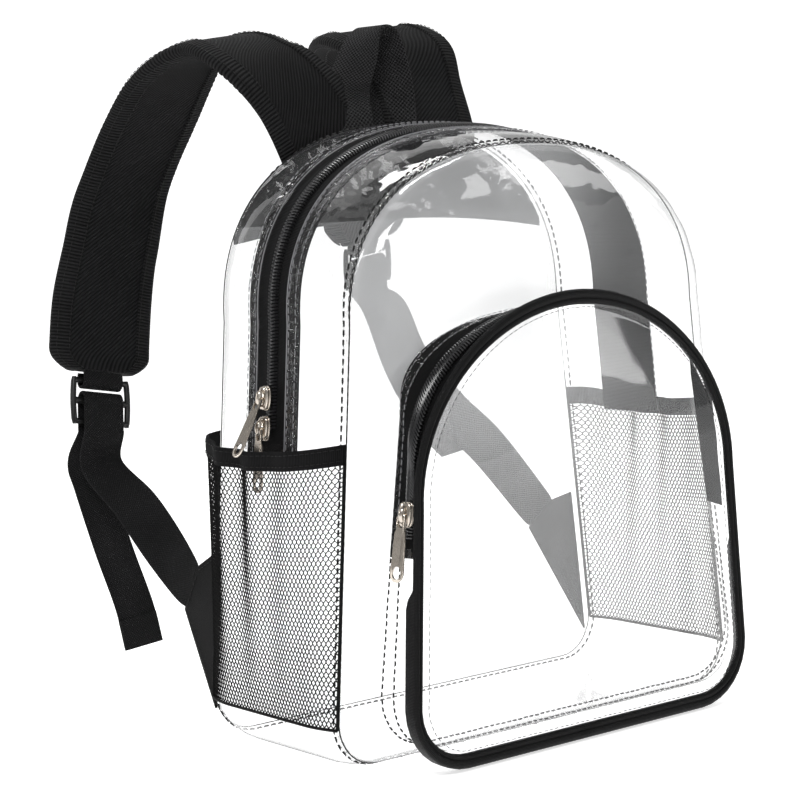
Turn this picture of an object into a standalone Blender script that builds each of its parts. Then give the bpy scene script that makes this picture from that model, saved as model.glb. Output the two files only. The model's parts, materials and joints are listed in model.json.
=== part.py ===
"""Clear stadium backpack with a front pocket, net side pockets and padded straps.

Metres, +Z up. The bag stands on its bottom at the origin, its front faces -Y, the wearer's side
faces +Y, and +X is to the right when it is seen from the front. Cloth and film are thin closed
walls; lengths in the tables are shares of the named sizes in their headings.
"""
import math
import bpy
import bmesh
from mathutils import Matrix, Vector

# Main body, measured on its seams
BODY_DEPTH = 0.106
FOOT_HALF_WIDTH = 0.134
SPRING_HALF_WIDTH = 0.117
SPRING_HEIGHT = 0.218
FRONT_TOP = 0.3045
BACK_TOP = 0.3165
ARCH_POWER = 2.28
FOOT_CORNER = 0.022
GUSSET_CROWN = 0.004
GUSSET_FLAT = 0.60
FILM = 0.0010
FRONT_BULGE = 0.0135
FRONT_ROUND = 0.10
FRONT_MIDDLE = 0.65

# Main zip on the gusset
ZIP_CENTRE = 0.004
ZIP_TAPE_WIDTH = 0.0250
ZIP_TAPE = 0.0008
COIL_WIDTH = 0.0060
COIL_HEIGHT = 0.0022

# Front pocket: its seam on the front panel and its face
POCKET_BACK_HALF = 0.1205
POCKET_BACK_SPRING_HALF = 0.1005
POCKET_BACK_FOOT = 0.0145
POCKET_BACK_SPRING = 0.179
POCKET_BACK_TOP = 0.2215
POCKET_BACK_POWER = 2.5
POCKET_FACE_HALF = 0.108
POCKET_FACE_SPRING_HALF = 0.102
POCKET_FACE_FOOT = 0.0088
POCKET_FACE_SPRING = 0.1315
POCKET_FACE_TOP = 0.2225
POCKET_FACE_POWER = 1.98
POCKET_CORNER = 0.026
POCKET_DEPTH = 0.020
POCKET_SWELL = 0.007
POCKET_ZIP_END_HEIGHT = 0.112
POCKET_ZIP_SHARE = 0.22
POCKET_COIL_WIDTH = 0.0048
PIPING_WIDTH = 0.0075
PIPING_THICKNESS = 0.0044

# Net side pockets
NET_FOOT_HEIGHT = 0.024
NET_TOP_HEIGHT = 0.1625
ZIP_END_DROP = 0.0035
ZIP_END_HEIGHT = NET_TOP_HEIGHT - ZIP_END_DROP
NET_BULGE = 0.0145
NET_LEAN = 0.35
NET_ACROSS_POWER = 0.45
NET_RISE_POWER = 0.90
NET_SAG = 0.005
NET = 0.0010
NET_BAND_HEIGHT = 0.0100
NET_BAND = 0.0018
NET_SEAM_MARGIN = 0.0015

# Sliders and pull tabs
SLIDER_LENGTH = 0.0125
SLIDER_WIDTH = 0.0088
SLIDER_BODY = 0.0030
BRIDGE_LENGTH = 0.0090
BRIDGE_WIDTH = 0.0020
BRIDGE_GAP = 0.0028
BRIDGE_BAR = 0.0011
BRIDGE_POST = 0.0014
PULL_LENGTH = 0.0330
PULL_WIDTH = 0.0076
PULL_THICKNESS = 0.0012
PULL_BAR = 0.0014
PULL_EYE_LENGTH = 0.0085
PULL_EYE_WIDTH = 0.0036
PULL_HOLE_LENGTH = 0.0080
PULL_HOLE_WIDTH = 0.0040
LOWER_SLIDER_DROP = 0.0150
MAIN_SLIDER_RISE = 0.0195
MAIN_SLIDER_HEIGHT = NET_TOP_HEIGHT + MAIN_SLIDER_RISE
POCKET_SLIDER_HEIGHT = 0.1285
UPPER_PULL_CLEARANCE = 0.0019
POCKET_PULL_TILT = 3.0

# Straps, webbing and handle
STRAP_WIDTH = 0.062
STRAP_THICKNESS = 0.0080
STRAP_REACH = 0.195
STRAP_CREST = 0.366
WEBBING_WIDTH = 0.025
WEBBING = 0.0016
LOCK_LENGTH = 0.0270
LOCK_WIDTH = 0.0370
LOCK_THICKNESS = 0.0034
LOCK_BAR = 0.0034
LOCK_MIDDLE_BAR = 0.0050
LOCK_SLACK = 0.0012
LOCK_BEVEL = 0.00085
LOCK_CLEAR_RUN = 0.004
TAB_REACH = 0.037
TAB_FOOT_HEIGHT = 0.017
TAB_TOP_HEIGHT = 0.100
TAB = 0.0020
TAB_TIP_WIDTH = 0.0275
TAB_LEAD = 0.0075
HANDLE_HALF_SPAN = 0.0160
HANDLE_SHIFT = -0.0080
HANDLE_LEAN = 0.0100
HANDLE_RISE = 0.0720
HANDLE_LAP = 0.0160
HANDLE = 0.0020
HANDLE_TURN_START = 0.27
HANDLE_TURN_SPAN = 0.46
YOKE_DROP = 0.050
YOKE_BOW = 0.009
YOKE = 0.0016
YOKE_HALF_WIDTH = 0.108

GAP = 0.0003
SEAM = BODY_DEPTH / 2
FLAT_DEPTH = GUSSET_FLAT * SEAM
BEND_DEPTH = (FLAT_DEPTH + SEAM) / 2
YOKE_BACK = SEAM + GAP + FILM + GAP + YOKE
HANDLE_SEAT = YOKE_BACK + GAP + HANDLE / 2
STRAP_START_SHARE = 0.35
STRAP_START_END = 0.14
STRAP_THICKENING_RATE = 6.0
STRAP_END_STEP_COUNT = 1.6
STRAP_END_TAPER = 0.55
STRAP_SLACK = 0.0008
STRAP_TO_LOCK = 0.004
STRAP_SEAT = HANDLE_SEAT + HANDLE / 2 + STRAP_SLACK + STRAP_THICKNESS * STRAP_START_SHARE / 2

# Steps in each stretch of an outline
FOOT_STEPS = 3
CORNER_STEPS = 4
ARCH_STEPS = 10


def material(name, colour, roughness, metallic=0.0, alpha=1.0):
    mat = bpy.data.materials.new(name)
    mat.use_nodes = True
    shader = mat.node_tree.nodes["Principled BSDF"]
    shader.inputs["Base Color"].default_value = (*colour, 1.0)
    shader.inputs["Roughness"].default_value = roughness
    shader.inputs["Metallic"].default_value = metallic
    shader.inputs["Alpha"].default_value = alpha
    mat.diffuse_color = (*colour, alpha)
    return mat


CLEAR = material("clear film", (0.92, 0.94, 0.95), 0.05, alpha=0.25)
CLOTH = material("black cloth", (0.015, 0.015, 0.016), 0.75)
WEB = material("black webbing", (0.02, 0.02, 0.021), 0.8)
PAD = material("black padding", (0.018, 0.018, 0.019), 0.85)
NET_LOOK = material("black net", (0.03, 0.03, 0.03), 0.7)
PLASTIC = material("black plastic", (0.02, 0.02, 0.02), 0.35)
METAL = material("nickel", (0.75, 0.72, 0.68), 0.25, metallic=1.0)


def add_object(name, mesh, look):
    """Link a mesh as one named object with its own copy of a material."""
    obj = bpy.data.objects.new(name, mesh)
    bpy.context.scene.collection.objects.link(obj)
    own = look.copy()
    own.name = name
    mesh.materials.append(own)
    return obj


def finish_mesh(name, bm, look, sharp=35.0):
    bmesh.ops.recalc_face_normals(bm, faces=bm.faces)
    mesh = bpy.data.meshes.new(name)
    bm.to_mesh(mesh)
    bm.free()
    mesh.shade_smooth()
    mesh.set_sharp_from_angle(angle=math.radians(sharp))
    return add_object(name, mesh, look)


def loft(name, sections, look, closed=False):
    """Skin a row of rings that have equal counts. Open ends are capped with a ladder of quads."""
    bm = bmesh.new()
    rings = [[bm.verts.new(point) for point in section] for section in sections]
    count = len(rings[0])
    for first, second in zip(rings, rings[1:] + rings[:1] if closed else rings[1:]):
        for i in range(count):
            j = (i + 1) % count
            bm.faces.new((first[i], first[j], second[j], second[i]))
    if not closed:
        for ring in (rings[0], rings[-1]):
            for i in range(count // 2 - 1):
                bm.faces.new((ring[i], ring[i + 1], ring[count - 2 - i], ring[count - 1 - i]))
    return finish_mesh(name, bm, look)


def sheet(name, rows, look, thickness, wrap=False, hub=None):
    """A wall of even thickness about a grid of points; hub closes the last row to one point."""
    bm = bmesh.new()
    grid = [[bm.verts.new(point) for point in row] for row in rows]
    columns = len(grid[0])
    for upper, lower in zip(grid, grid[1:]):
        for i in range(columns if wrap else columns - 1):
            j = (i + 1) % columns
            bm.faces.new((upper[i], upper[j], lower[j], lower[i]))
    if hub is not None:
        centre = bm.verts.new(hub)
        for i in range(columns):
            bm.faces.new((grid[-1][i], grid[-1][(i + 1) % columns], centre))
    obj = finish_mesh(name, bm, look)
    wall = obj.modifiers.new("wall", 'SOLIDIFY')
    wall.thickness = thickness
    wall.offset = 0.0
    wall.use_even_offset = True
    return obj


def block(name, size, place, look):
    """A box of the given size whose centre is moved by the matrix place."""
    bm = bmesh.new()
    bmesh.ops.create_cube(bm, size=1.0, matrix=place @ Matrix.Diagonal((*size, 1.0)))
    return finish_mesh(name, bm, look)


def combine(target, other, operation):
    """Join or cut target with other, which stays in the file as a hidden guide."""
    other.hide_render = True
    other.display_type = 'WIRE'
    step = target.modifiers.new(operation.lower() + " " + other.name, 'BOOLEAN')
    step.operation = operation
    step.solver = 'EXACT'
    step.object = other


def frame_matrix(origin, across, along, out):
    """Local x is across, local y is along and local z is out of the surface."""
    matrix = Matrix((across, along, out)).transposed().to_4x4()
    matrix.translation = origin
    return matrix


# Arched outlines, as seen from the front

def arch_outline(half, spring_half, foot, spring, top, power, corner, levels):
    """Points (x, z) from the middle of the foot, up the right side, over and down the left."""
    right = [(half - corner) * i / FOOT_STEPS for i in range(FOOT_STEPS + 1)]
    points = [(x, foot) for x in right]
    for i in range(1, CORNER_STEPS + 1):
        turn = math.pi / 2 * i / CORNER_STEPS
        points.append((half - corner + corner * math.sin(turn), foot + corner - corner * math.cos(turn)))
    for level in levels:
        share = (level - foot - corner) / (spring - foot - corner)
        points.append((half + (spring_half - half) * share, level))
    for i in range(ARCH_STEPS + 1):
        turn = math.pi / 2 * i / ARCH_STEPS
        points.append((spring_half * math.cos(turn) ** (2 / power) if i < ARCH_STEPS else 0.0,
                       spring + (top - spring) * math.sin(turn) ** (2 / power)))
    return points + [(-x, z) for x, z in reversed(points[1:-1])]


def outline_normals(points):
    """Unit outward normals of a closed outline."""
    normals = []
    for i, _ in enumerate(points):
        before, after = points[i - 1], points[(i + 1) % len(points)]
        along = Vector((after[0] - before[0], after[1] - before[1])).normalized()
        normals.append((along.y, -along.x))
    return normals


def grown(points, amount):
    """The outline moved outwards by amount."""
    return [(x + nx * amount, z + nz * amount)
            for (x, z), (nx, nz) in zip(points, outline_normals(points))]


def side_levels(foot, zip_end, top):
    """Heights of the points up a side; the second and third are the two sides of the zip's end."""
    return [(foot + zip_end) / 2, zip_end, zip_end + GAP, (zip_end + top) / 2]


FOOT_HEIGHT = GUSSET_CROWN
SIDE_LEVELS = side_levels(FOOT_CORNER + FOOT_HEIGHT, ZIP_END_HEIGHT, SPRING_HEIGHT)
ZIP_START = FOOT_STEPS + CORNER_STEPS + 2
OUTLINE_COUNT = 2 * (FOOT_STEPS + CORNER_STEPS + len(SIDE_LEVELS) + ARCH_STEPS + 1)
ZIP_STOP = OUTLINE_COUNT - ZIP_START


def crown(depth):
    """How far the gusset stands out past its seams at a depth: flat in the middle."""
    past = max(0.0, abs(depth) - FLAT_DEPTH) / (SEAM - FLAT_DEPTH)
    return GUSSET_CROWN * (1 - past ** 2)


def body_outline(depth):
    """The outline of the gusset's middle surface at a depth."""
    share = (depth + SEAM) / BODY_DEPTH
    top = FRONT_TOP + (BACK_TOP - FRONT_TOP) * share
    points = arch_outline(FOOT_HALF_WIDTH, SPRING_HALF_WIDTH, FOOT_HEIGHT, SPRING_HEIGHT, top,
                          ARCH_POWER, FOOT_CORNER, SIDE_LEVELS)
    return grown(points, crown(depth) - FILM / 2)


def gusset_point(index, depth, lift=0.0):
    """A point on the gusset's middle surface at an outline place and a depth."""
    x, z = grown(body_outline(depth), lift)[index % OUTLINE_COUNT]
    return Vector((x, depth, z))


def gusset_sheet(name, first, last, depths, look, thickness, lift=0.0):
    rows = []
    for depth in depths:
        outline = grown(body_outline(depth), lift)
        rows.append([(outline[i % OUTLINE_COUNT][0], depth, outline[i % OUTLINE_COUNT][1])
                     for i in range(first, last + 1)])
    return sheet(name, rows, look, thickness)


def clear_shell():
    zip_front = ZIP_CENTRE - ZIP_TAPE_WIDTH / 2
    zip_back = ZIP_CENTRE + ZIP_TAPE_WIDTH / 2
    film_depths = [-SEAM, -BEND_DEPTH, -FLAT_DEPTH, 0.0, FLAT_DEPTH, BEND_DEPTH, SEAM]
    gusset_sheet("lower_gusset", ZIP_STOP - OUTLINE_COUNT, ZIP_START, film_depths, CLEAR, FILM)
    gusset_sheet("gusset_front_strip", ZIP_START + 1, ZIP_STOP - 1,
                 [-SEAM, -BEND_DEPTH, -FLAT_DEPTH, zip_front], CLEAR, FILM)
    gusset_sheet("gusset_back_strip", ZIP_START + 1, ZIP_STOP - 1,
                 [zip_back, FLAT_DEPTH, BEND_DEPTH, SEAM], CLEAR, FILM)
    front_panel()
    back_panel()


def front_panel_depth(share):
    """How far in front of the seam the front panel stands, share of the way to its middle."""
    rise = 1 - min(share / FRONT_ROUND, 1.0)
    return FRONT_BULGE * math.sqrt(1 - rise * rise)


def domed_rows(outline, middle, shares, base, depth_of):
    """Rings that shrink from an outline towards its middle while they come forward."""
    rows = []
    for share in shares:
        rows.append([(x * (1 - share), base - depth_of(share), middle + (z - middle) * (1 - share))
                     for x, z in outline])
    return rows


def front_panel():
    outline = body_outline(-SEAM)
    middle = SPRING_HEIGHT * FRONT_MIDDLE
    shares = [FRONT_ROUND * part for part in (0.0, 0.03, 0.13, 0.34, 0.64, 1.0, 4.0, 7.5)]
    base = -SEAM - GAP - FILM / 2
    rows = domed_rows(outline, middle, shares, base, front_panel_depth)
    hub = (0.0, base - front_panel_depth(1.0), middle)
    sheet("front_panel", rows, CLEAR, FILM, wrap=True, hub=hub)


def back_panel():
    outline = body_outline(SEAM)
    plane = SEAM + GAP + FILM / 2
    sections = [[(x, y, z) for x, z in outline] for y in (plane - FILM / 2, plane + FILM / 2)]
    loft("back_panel", sections, CLEAR)


# Zips

def coil_ring(index, lift, width, height, point):
    """A low rounded section of a zip's coil, across the gusset at one outline place."""
    profile = [(-0.5, 0.0), (-0.36, 0.8), (0.0, 1.0), (0.36, 0.8), (0.5, 0.0), (0.0, 0.0)]
    return [point(index, across * width, lift + up * height) for across, up in profile]


def main_zip():
    half = ZIP_TAPE_WIDTH / 2 - GAP
    depths = [ZIP_CENTRE - half, ZIP_CENTRE, ZIP_CENTRE + half]
    gusset_sheet("main_zip_tape", ZIP_START + 1, ZIP_STOP - 1, depths, CLOTH, ZIP_TAPE)
    lift = ZIP_TAPE / 2 + GAP

    def point(index, across, up):
        return gusset_point(index, ZIP_CENTRE + across, up)

    rings = [coil_ring(i, lift, COIL_WIDTH, COIL_HEIGHT, point)
             for i in range(ZIP_START + 1, ZIP_STOP)]
    loft("main_zip_coil", rings, CLOTH)


# Front pocket

POCKET_LEVELS = side_levels(POCKET_FACE_FOOT + POCKET_CORNER, POCKET_ZIP_END_HEIGHT, POCKET_FACE_SPRING)
POCKET_ZIP_START = FOOT_STEPS + CORNER_STEPS + 2
POCKET_COUNT = 2 * (FOOT_STEPS + CORNER_STEPS + len(POCKET_LEVELS) + ARCH_STEPS + 1)
POCKET_ZIP_STOP = POCKET_COUNT - POCKET_ZIP_START
POCKET_BACK_PLANE = -SEAM - GAP - FILM - FRONT_BULGE - GAP
POCKET_FACE_PLANE = POCKET_BACK_PLANE - POCKET_DEPTH


def pocket_outline(share):
    """Outline of the pocket's gusset, ruled from its back seam at 0 to its face at 1."""
    seam = arch_outline(POCKET_BACK_HALF, POCKET_BACK_SPRING_HALF, POCKET_BACK_FOOT, POCKET_BACK_SPRING,
                        POCKET_BACK_TOP, POCKET_BACK_POWER, POCKET_CORNER, POCKET_LEVELS)
    face = arch_outline(POCKET_FACE_HALF, POCKET_FACE_SPRING_HALF, POCKET_FACE_FOOT, POCKET_FACE_SPRING,
                        POCKET_FACE_TOP, POCKET_FACE_POWER, POCKET_CORNER, POCKET_LEVELS)
    return [(bx + (fx - bx) * share, bz + (fz - bz) * share) for (bx, bz), (fx, fz) in zip(seam, face)]


def pocket_point(index, share, lift=0.0):
    """A point of the pocket's gusset at an outline place, lifted square to its slanted wall."""
    i = index % POCKET_COUNT
    outline = pocket_outline(share)
    nx, nz = outline_normals(outline)[i]
    (bx, bz), (fx, fz) = pocket_outline(0.0)[i], pocket_outline(1.0)[i]
    out = Vector((nx, (nx * (fx - bx) + nz * (fz - bz)) / POCKET_DEPTH, nz)).normalized()
    x, z = outline[i]
    return Vector((x, POCKET_BACK_PLANE - POCKET_DEPTH * share, z)) + out * lift


def pocket_sheet(name, first, last, shares, look, thickness):
    rows = [[pocket_point(i, share) for i in range(first, last + 1)] for share in shares]
    return sheet(name, rows, look, thickness)


def front_pocket():
    edge = 1 - (PIPING_THICKNESS / 2 + GAP) / POCKET_DEPTH
    start = GAP / POCKET_DEPTH
    tape = POCKET_ZIP_SHARE
    pocket_sheet("pocket_lower_gusset", POCKET_ZIP_STOP - POCKET_COUNT, POCKET_ZIP_START,
                 [start, 0.5, edge], CLEAR, FILM)
    pocket_sheet("pocket_arch_strip", POCKET_ZIP_START + 1, POCKET_ZIP_STOP - 1,
                 [start, tape], CLEAR, FILM)
    middle = (tape + edge) / 2
    coil_half = POCKET_COIL_WIDTH / 2 / POCKET_DEPTH
    pocket_sheet("pocket_zip_tape", POCKET_ZIP_START + 1, POCKET_ZIP_STOP - 1,
                 [tape + GAP / POCKET_DEPTH, middle - coil_half, middle, middle + coil_half, edge],
                 CLOTH, ZIP_TAPE)

    def point(index, across, up):
        return pocket_point(index, middle + across / POCKET_DEPTH, up)

    rings = [coil_ring(i, ZIP_TAPE / 2 + 2 * GAP, POCKET_COIL_WIDTH, COIL_HEIGHT, point)
             for i in range(POCKET_ZIP_START + 1, POCKET_ZIP_STOP)]
    loft("pocket_zip_coil", rings, CLOTH)
    pocket_piping()
    pocket_face()


def pocket_piping():
    """A flattened tube round the face: shares of its width outwards and of its thickness."""
    profile = [(0.0, -0.5), (0.35, -0.5), (0.5, -0.42), (0.65, -0.5), (1.0, -0.25), (1.0, 0.25),
               (0.8, 0.5), (0.0, 0.5)]
    outlines = {out: grown(pocket_outline(1.0), out * PIPING_WIDTH) for out, _ in profile}
    rings = []
    for i in range(POCKET_COUNT):
        rings.append([(outlines[out][i][0], POCKET_FACE_PLANE + deep * PIPING_THICKNESS, outlines[out][i][1])
                      for out, deep in profile])
    loft("pocket_piping", rings, CLOTH, closed=True)


def pocket_face():
    outline = grown(pocket_outline(1.0), -GAP)
    middle = (POCKET_FACE_FOOT + POCKET_FACE_TOP) / 2
    shares = [0.0, 0.05, 0.14, 0.3, 0.6]

    def swell(share):
        return POCKET_SWELL * (1 - (1 - share) ** 3)

    rows = domed_rows(outline, middle, shares, POCKET_FACE_PLANE, swell)
    sheet("pocket_face", rows, CLEAR, FILM, wrap=True, hub=(0.0, POCKET_FACE_PLANE - swell(1.0), middle))


# Net side pockets

def side_x(depth, height):
    """Half width of the gusset's middle surface at a depth and a height on the straight side."""
    foot = FOOT_CORNER + FOOT_HEIGHT
    share = (height - foot) / (SPRING_HEIGHT - foot)
    return FOOT_HALF_WIDTH + (SPRING_HALF_WIDTH - FOOT_HALF_WIDTH) * share + crown(depth) - FILM / 2


def net_stand_off(depth_share, height_share):
    """How far the net stands off the gusset: most at its open top, none at its seams."""
    across = max(0.0, 1 - depth_share ** 2) ** NET_ACROSS_POWER * (1 + NET_LEAN * depth_share)
    return NET_BULGE * across * height_share ** NET_RISE_POWER


def net_grid(side, low, high, rows, out):
    """Rows of net points from a low share of its height to a high one, moved outwards by out."""
    half = SEAM - NET_SEAM_MARGIN
    back_depths = [FLAT_DEPTH / 2, FLAT_DEPTH, BEND_DEPTH, half]
    depths = [-depth for depth in reversed(back_depths)] + [0.0] + back_depths
    grid = []
    for row in range(rows + 1):
        height_share = low + (high - low) * row / rows
        points = []
        for depth in depths:
            depth_share = depth / half
            sag = NET_SAG * (1 - depth_share ** 2) * height_share
            height = NET_FOOT_HEIGHT + (NET_TOP_HEIGHT - NET_FOOT_HEIGHT) * height_share - sag
            base = side_x(depth, height) + FILM / 2 + GAP + NET / 2 + out
            points.append((side * (base + net_stand_off(depth_share, height_share)), depth, height))
        grid.append(points)
    return grid


def side_pocket(side, word):
    band = NET_BAND_HEIGHT / (NET_TOP_HEIGHT - NET_FOOT_HEIGHT)
    slit = GAP / (NET_TOP_HEIGHT - NET_FOOT_HEIGHT)
    thicker = (NET_BAND - NET) / 2
    sheet("net_pocket_" + word, net_grid(side, 0.0, 1 - band - slit, 6, 0.0), NET_LOOK, NET)
    sheet("net_band_" + word, net_grid(side, 1 - band, 1.0, 1, thicker), CLOTH, NET_BAND)


# Sliders and pulls: each is built in a frame with x across, y along and z out of the zip

def slider(name, place, base):
    """A slider body with a bridge over its middle; returns the lift of the bridge's window."""
    top = base + SLIDER_BODY
    body = block(name, (SLIDER_WIDTH, SLIDER_LENGTH, SLIDER_BODY),
                 place @ Matrix.Translation((0, 0, base + SLIDER_BODY / 2)), METAL)
    rise = BRIDGE_GAP + BRIDGE_BAR
    sunk = SLIDER_BODY / 2
    arch = block(name + "_bridge", (BRIDGE_WIDTH, BRIDGE_LENGTH, rise + sunk),
                 place @ Matrix.Translation((0, 0, top + (rise - sunk) / 2)), METAL)
    hole = block(name + "_window", (BRIDGE_WIDTH * 2, BRIDGE_LENGTH - 2 * BRIDGE_POST, BRIDGE_GAP),
                 place @ Matrix.Translation((0, 0, top + BRIDGE_GAP / 2)), METAL)
    combine(arch, hole, 'DIFFERENCE')
    combine(body, arch, 'UNION')
    return top + BRIDGE_GAP / 2


def stadium(length, width, centre, steps=5):
    """Outline of a slot with round ends, along y, about a centre on y."""
    radius = width / 2
    points = []
    for end in (1, -1):
        for i in range(steps + 1):
            turn = math.pi * i / steps + (0 if end > 0 else math.pi)
            points.append((radius * math.cos(turn),
                           centre + end * (length / 2 - radius) + radius * math.sin(turn)))
    return points


def prism(name, outline, place, thickness, look):
    sections = [[place @ Vector((x, y, z)) for x, y in outline] for z in (-thickness / 2, thickness / 2)]
    return loft(name, sections, look)


def pull(name, place, lift, tilt):
    """A pull tab hung on its top bar, the hinge, and tilted outwards; local +y is up the zip."""
    hinge = place @ Matrix.Translation((0, 0, lift)) @ Matrix.Rotation(-math.radians(tilt), 4, 'X')
    centre = PULL_BAR / 2 - PULL_LENGTH / 2
    tab = prism(name, stadium(PULL_LENGTH, PULL_WIDTH, centre), hinge, PULL_THICKNESS, METAL)
    eye = -PULL_BAR / 2 - PULL_EYE_LENGTH / 2
    window = prism(name + "_eye", stadium(PULL_EYE_LENGTH, PULL_EYE_WIDTH, eye), hinge,
                   PULL_THICKNESS * 3, METAL)
    low = PULL_BAR * 1.5 - PULL_LENGTH + PULL_HOLE_LENGTH / 2
    hole = prism(name + "_hole", stadium(PULL_HOLE_LENGTH, PULL_HOLE_WIDTH, low), hinge,
                 PULL_THICKNESS * 3, METAL)
    combine(tab, window, 'DIFFERENCE')
    combine(tab, hole, 'DIFFERENCE')
    tab.data.transform(Matrix.Translation(-hinge.translation))
    tab.location = hinge.translation
    return tab


def gusset_frame(height):
    """Frame on the left of the gusset at a height: x across, y up the zip, z outwards."""
    def surface(level):
        return Vector((-side_x(ZIP_CENTRE, level), ZIP_CENTRE, level))
    up = (surface(height + 0.01) - surface(height - 0.01)).normalized()
    across = Vector((0, -1, 0))
    return frame_matrix(surface(height), across, up, across.cross(up))


def pocket_frame(height):
    """The same on the left of the pocket's gusset, on the middle of its zip."""
    edge = 1 - (PIPING_THICKNESS / 2 + GAP) / POCKET_DEPTH
    share = (POCKET_ZIP_SHARE + edge) / 2

    def surface(level, at):
        return outline_side(pocket_outline(at), level, POCKET_BACK_PLANE - POCKET_DEPTH * at)

    up = (surface(height + 0.004, share) - surface(height - 0.004, share)).normalized()
    across = (surface(height, share + 0.1) - surface(height, share - 0.1)).normalized()
    out = across.cross(up).normalized()
    return frame_matrix(surface(height, share), up.cross(out), up, out)


def outline_side(points, level, depth):
    """The point on an outline's left side at a level."""
    left = points[len(points) // 2:]
    for high, low in zip(left, left[1:]):
        if low[1] <= level <= high[1]:
            share = (high[1] - level) / (high[1] - low[1])
            return Vector((high[0] + (low[0] - high[0]) * share, depth, level))
    return Vector((left[-1][0], depth, level))


def net_rim():
    """The outer edge of the left net band's top, at the zip's depth."""
    depth_share = ZIP_CENTRE / (SEAM - NET_SEAM_MARGIN)
    height = NET_TOP_HEIGHT - NET_SAG * (1 - depth_share ** 2)
    out = side_x(ZIP_CENTRE, height) + FILM / 2 + GAP + NET_BAND + net_stand_off(depth_share, 1.0)
    return Vector((-out, ZIP_CENTRE, height))


def tilt_over_net(place, lift):
    """Tilt in degrees that hangs the upper pull over the net band with its clearance."""
    rim = place.inverted() @ net_rim() - Vector((0, 0, lift))
    return math.degrees(math.atan2(rim.z, -rim.y)
                        + math.asin((PULL_THICKNESS / 2 + UPPER_PULL_CLEARANCE) / rim.length))


def sliders_and_pulls():
    base = ZIP_TAPE / 2 + GAP + COIL_HEIGHT + GAP
    place = gusset_frame(MAIN_SLIDER_HEIGHT)
    lift = slider("main_slider_upper", place, base)
    pull("main_pull_upper", place, lift, tilt_over_net(place, lift))
    place = gusset_frame(MAIN_SLIDER_HEIGHT - LOWER_SLIDER_DROP)
    lift = slider("main_slider_lower", place, base)
    pull("main_pull_lower", place, lift, 0.0)
    place = pocket_frame(POCKET_SLIDER_HEIGHT)
    lift = slider("pocket_slider", place, base)
    pull("pocket_pull", place, lift, POCKET_PULL_TILT)


# Straps, webbing and handle: ribbons along smooth routes

def smooth_route(points, steps):
    """Catmull-Rom curve through the points, with the given steps between each pair."""
    ends = [points[0] * 2 - points[1], *points, points[-1] * 2 - points[-2]]
    route = []
    for a, b, c, d in zip(ends, ends[1:], ends[2:], ends[3:]):
        for i in range(steps):
            t = i / steps
            route.append((b * 2 + (c - a) * t + (a * 2 - b * 5 + c * 4 - d) * t * t
                          + (b * 3 - a - c * 3 + d) * t ** 3) / 2)
    return route + [points[-1]]


def ribbon_sections(route, widths_across, width_of, profile):
    """Rings along a route. Profile points are shares across and through, width_of gives sizes."""
    sections = []
    last = len(route) - 1
    for i, point in enumerate(route):
        along = (route[min(i + 1, last)] - route[max(i - 1, 0)]).normalized()
        across = widths_across[i]
        across = (across - along * across.dot(along)).normalized()
        out = across.cross(along)
        width, thickness = width_of(i / last)
        sections.append([point + across * (a * width) + out * (b * thickness) for a, b in profile])
    return sections


FLAT_PROFILE = [(-0.5, -0.5), (0.5, -0.5), (0.5, 0.5), (-0.5, 0.5)]
PAD_PROFILE = [(-0.5, -0.16), (-0.44, -0.5), (0.0, -0.5), (0.44, -0.5), (0.5, -0.16),
               (0.5, 0.16), (0.44, 0.5), (0.0, 0.5), (-0.44, 0.5), (-0.5, 0.16)]

# Left strap: across in shares of the foot's half width, back of the reach, up of the crest,
# and the width's own direction as back and up parts against one part across
LEFT_STRAP = (
    # across, back, up, turn_back, turn_up
    (-0.280, 0.310, 0.815, 0.00, 0.22),
    (-0.305, 0.312, 0.850, 0.00, 0.24),
    (-0.400, 0.375, 0.910, 0.00, 0.45),
    (-0.490, 0.436, 0.960, 0.05, 0.38),
    (-0.545, 0.554, 0.990, -0.10, 0.22),
    (-0.595, 0.700, 0.972, -0.10, 0.08),
    (-0.612, 0.862, 0.890, 0.00, 0.00),
    (-0.655, 0.959, 0.787, 0.00, 0.00),
    (-0.720, 0.990, 0.695, 0.00, 0.00),
    (-0.770, 1.000, 0.618, 0.00, 0.00),
    (-0.810, 0.985, 0.549, 0.00, 0.00),
    (-0.832, 0.968, 0.508, 0.00, 0.00),
)
RIGHT_STRAP = (
    (0.235, 0.310, 0.830, 0.00, -0.12),
    (0.240, 0.312, 0.872, 0.00, -0.10),
    (0.255, 0.378, 0.935, 0.00, 0.00),
    (0.262, 0.451, 0.986, -0.20, 0.08),
    (0.275, 0.615, 1.012, -0.25, 0.10),
    (0.440, 0.795, 0.983, -0.20, 0.05),
    (0.630, 0.974, 0.903, -0.10, 0.00),
    (0.770, 1.103, 0.820, 0.00, 0.00),
    (0.865, 1.179, 0.734, 0.00, 0.00),
    (0.893, 1.203, 0.683, 0.00, 0.00),
)
# Webbing from its buckle to the narrow end of its tab, in the same shares
LEFT_RUN = (
    # across, back, up
    (-0.880, 0.930, 0.365),
    (-0.849, 0.795, 0.310),
    (-0.880, 0.615, 0.254),
)
RIGHT_RUN = (
    (0.895, 1.100, 0.560),
    (0.862, 0.974, 0.476),
    (0.830, 0.769, 0.400),
    (0.840, 0.590, 0.340),
)
LEFT_TAIL = (
    (-0.900, 0.988, 0.370),
    (-0.885, 0.975, 0.326),
    (-0.850, 0.923, 0.232),
    (-0.812, 0.872, 0.147),
    (-0.796, 0.846, 0.084),
)
RIGHT_TAIL = (
    (0.915, 1.165, 0.555),
    (0.885, 1.035, 0.455),
    (0.860, 0.865, 0.365),
    (0.868, 0.760, 0.325),
)


def table_point(row):
    across, back, up = row[:3]
    return Vector((across * FOOT_HALF_WIDTH, back * STRAP_REACH, up * STRAP_CREST))


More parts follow.
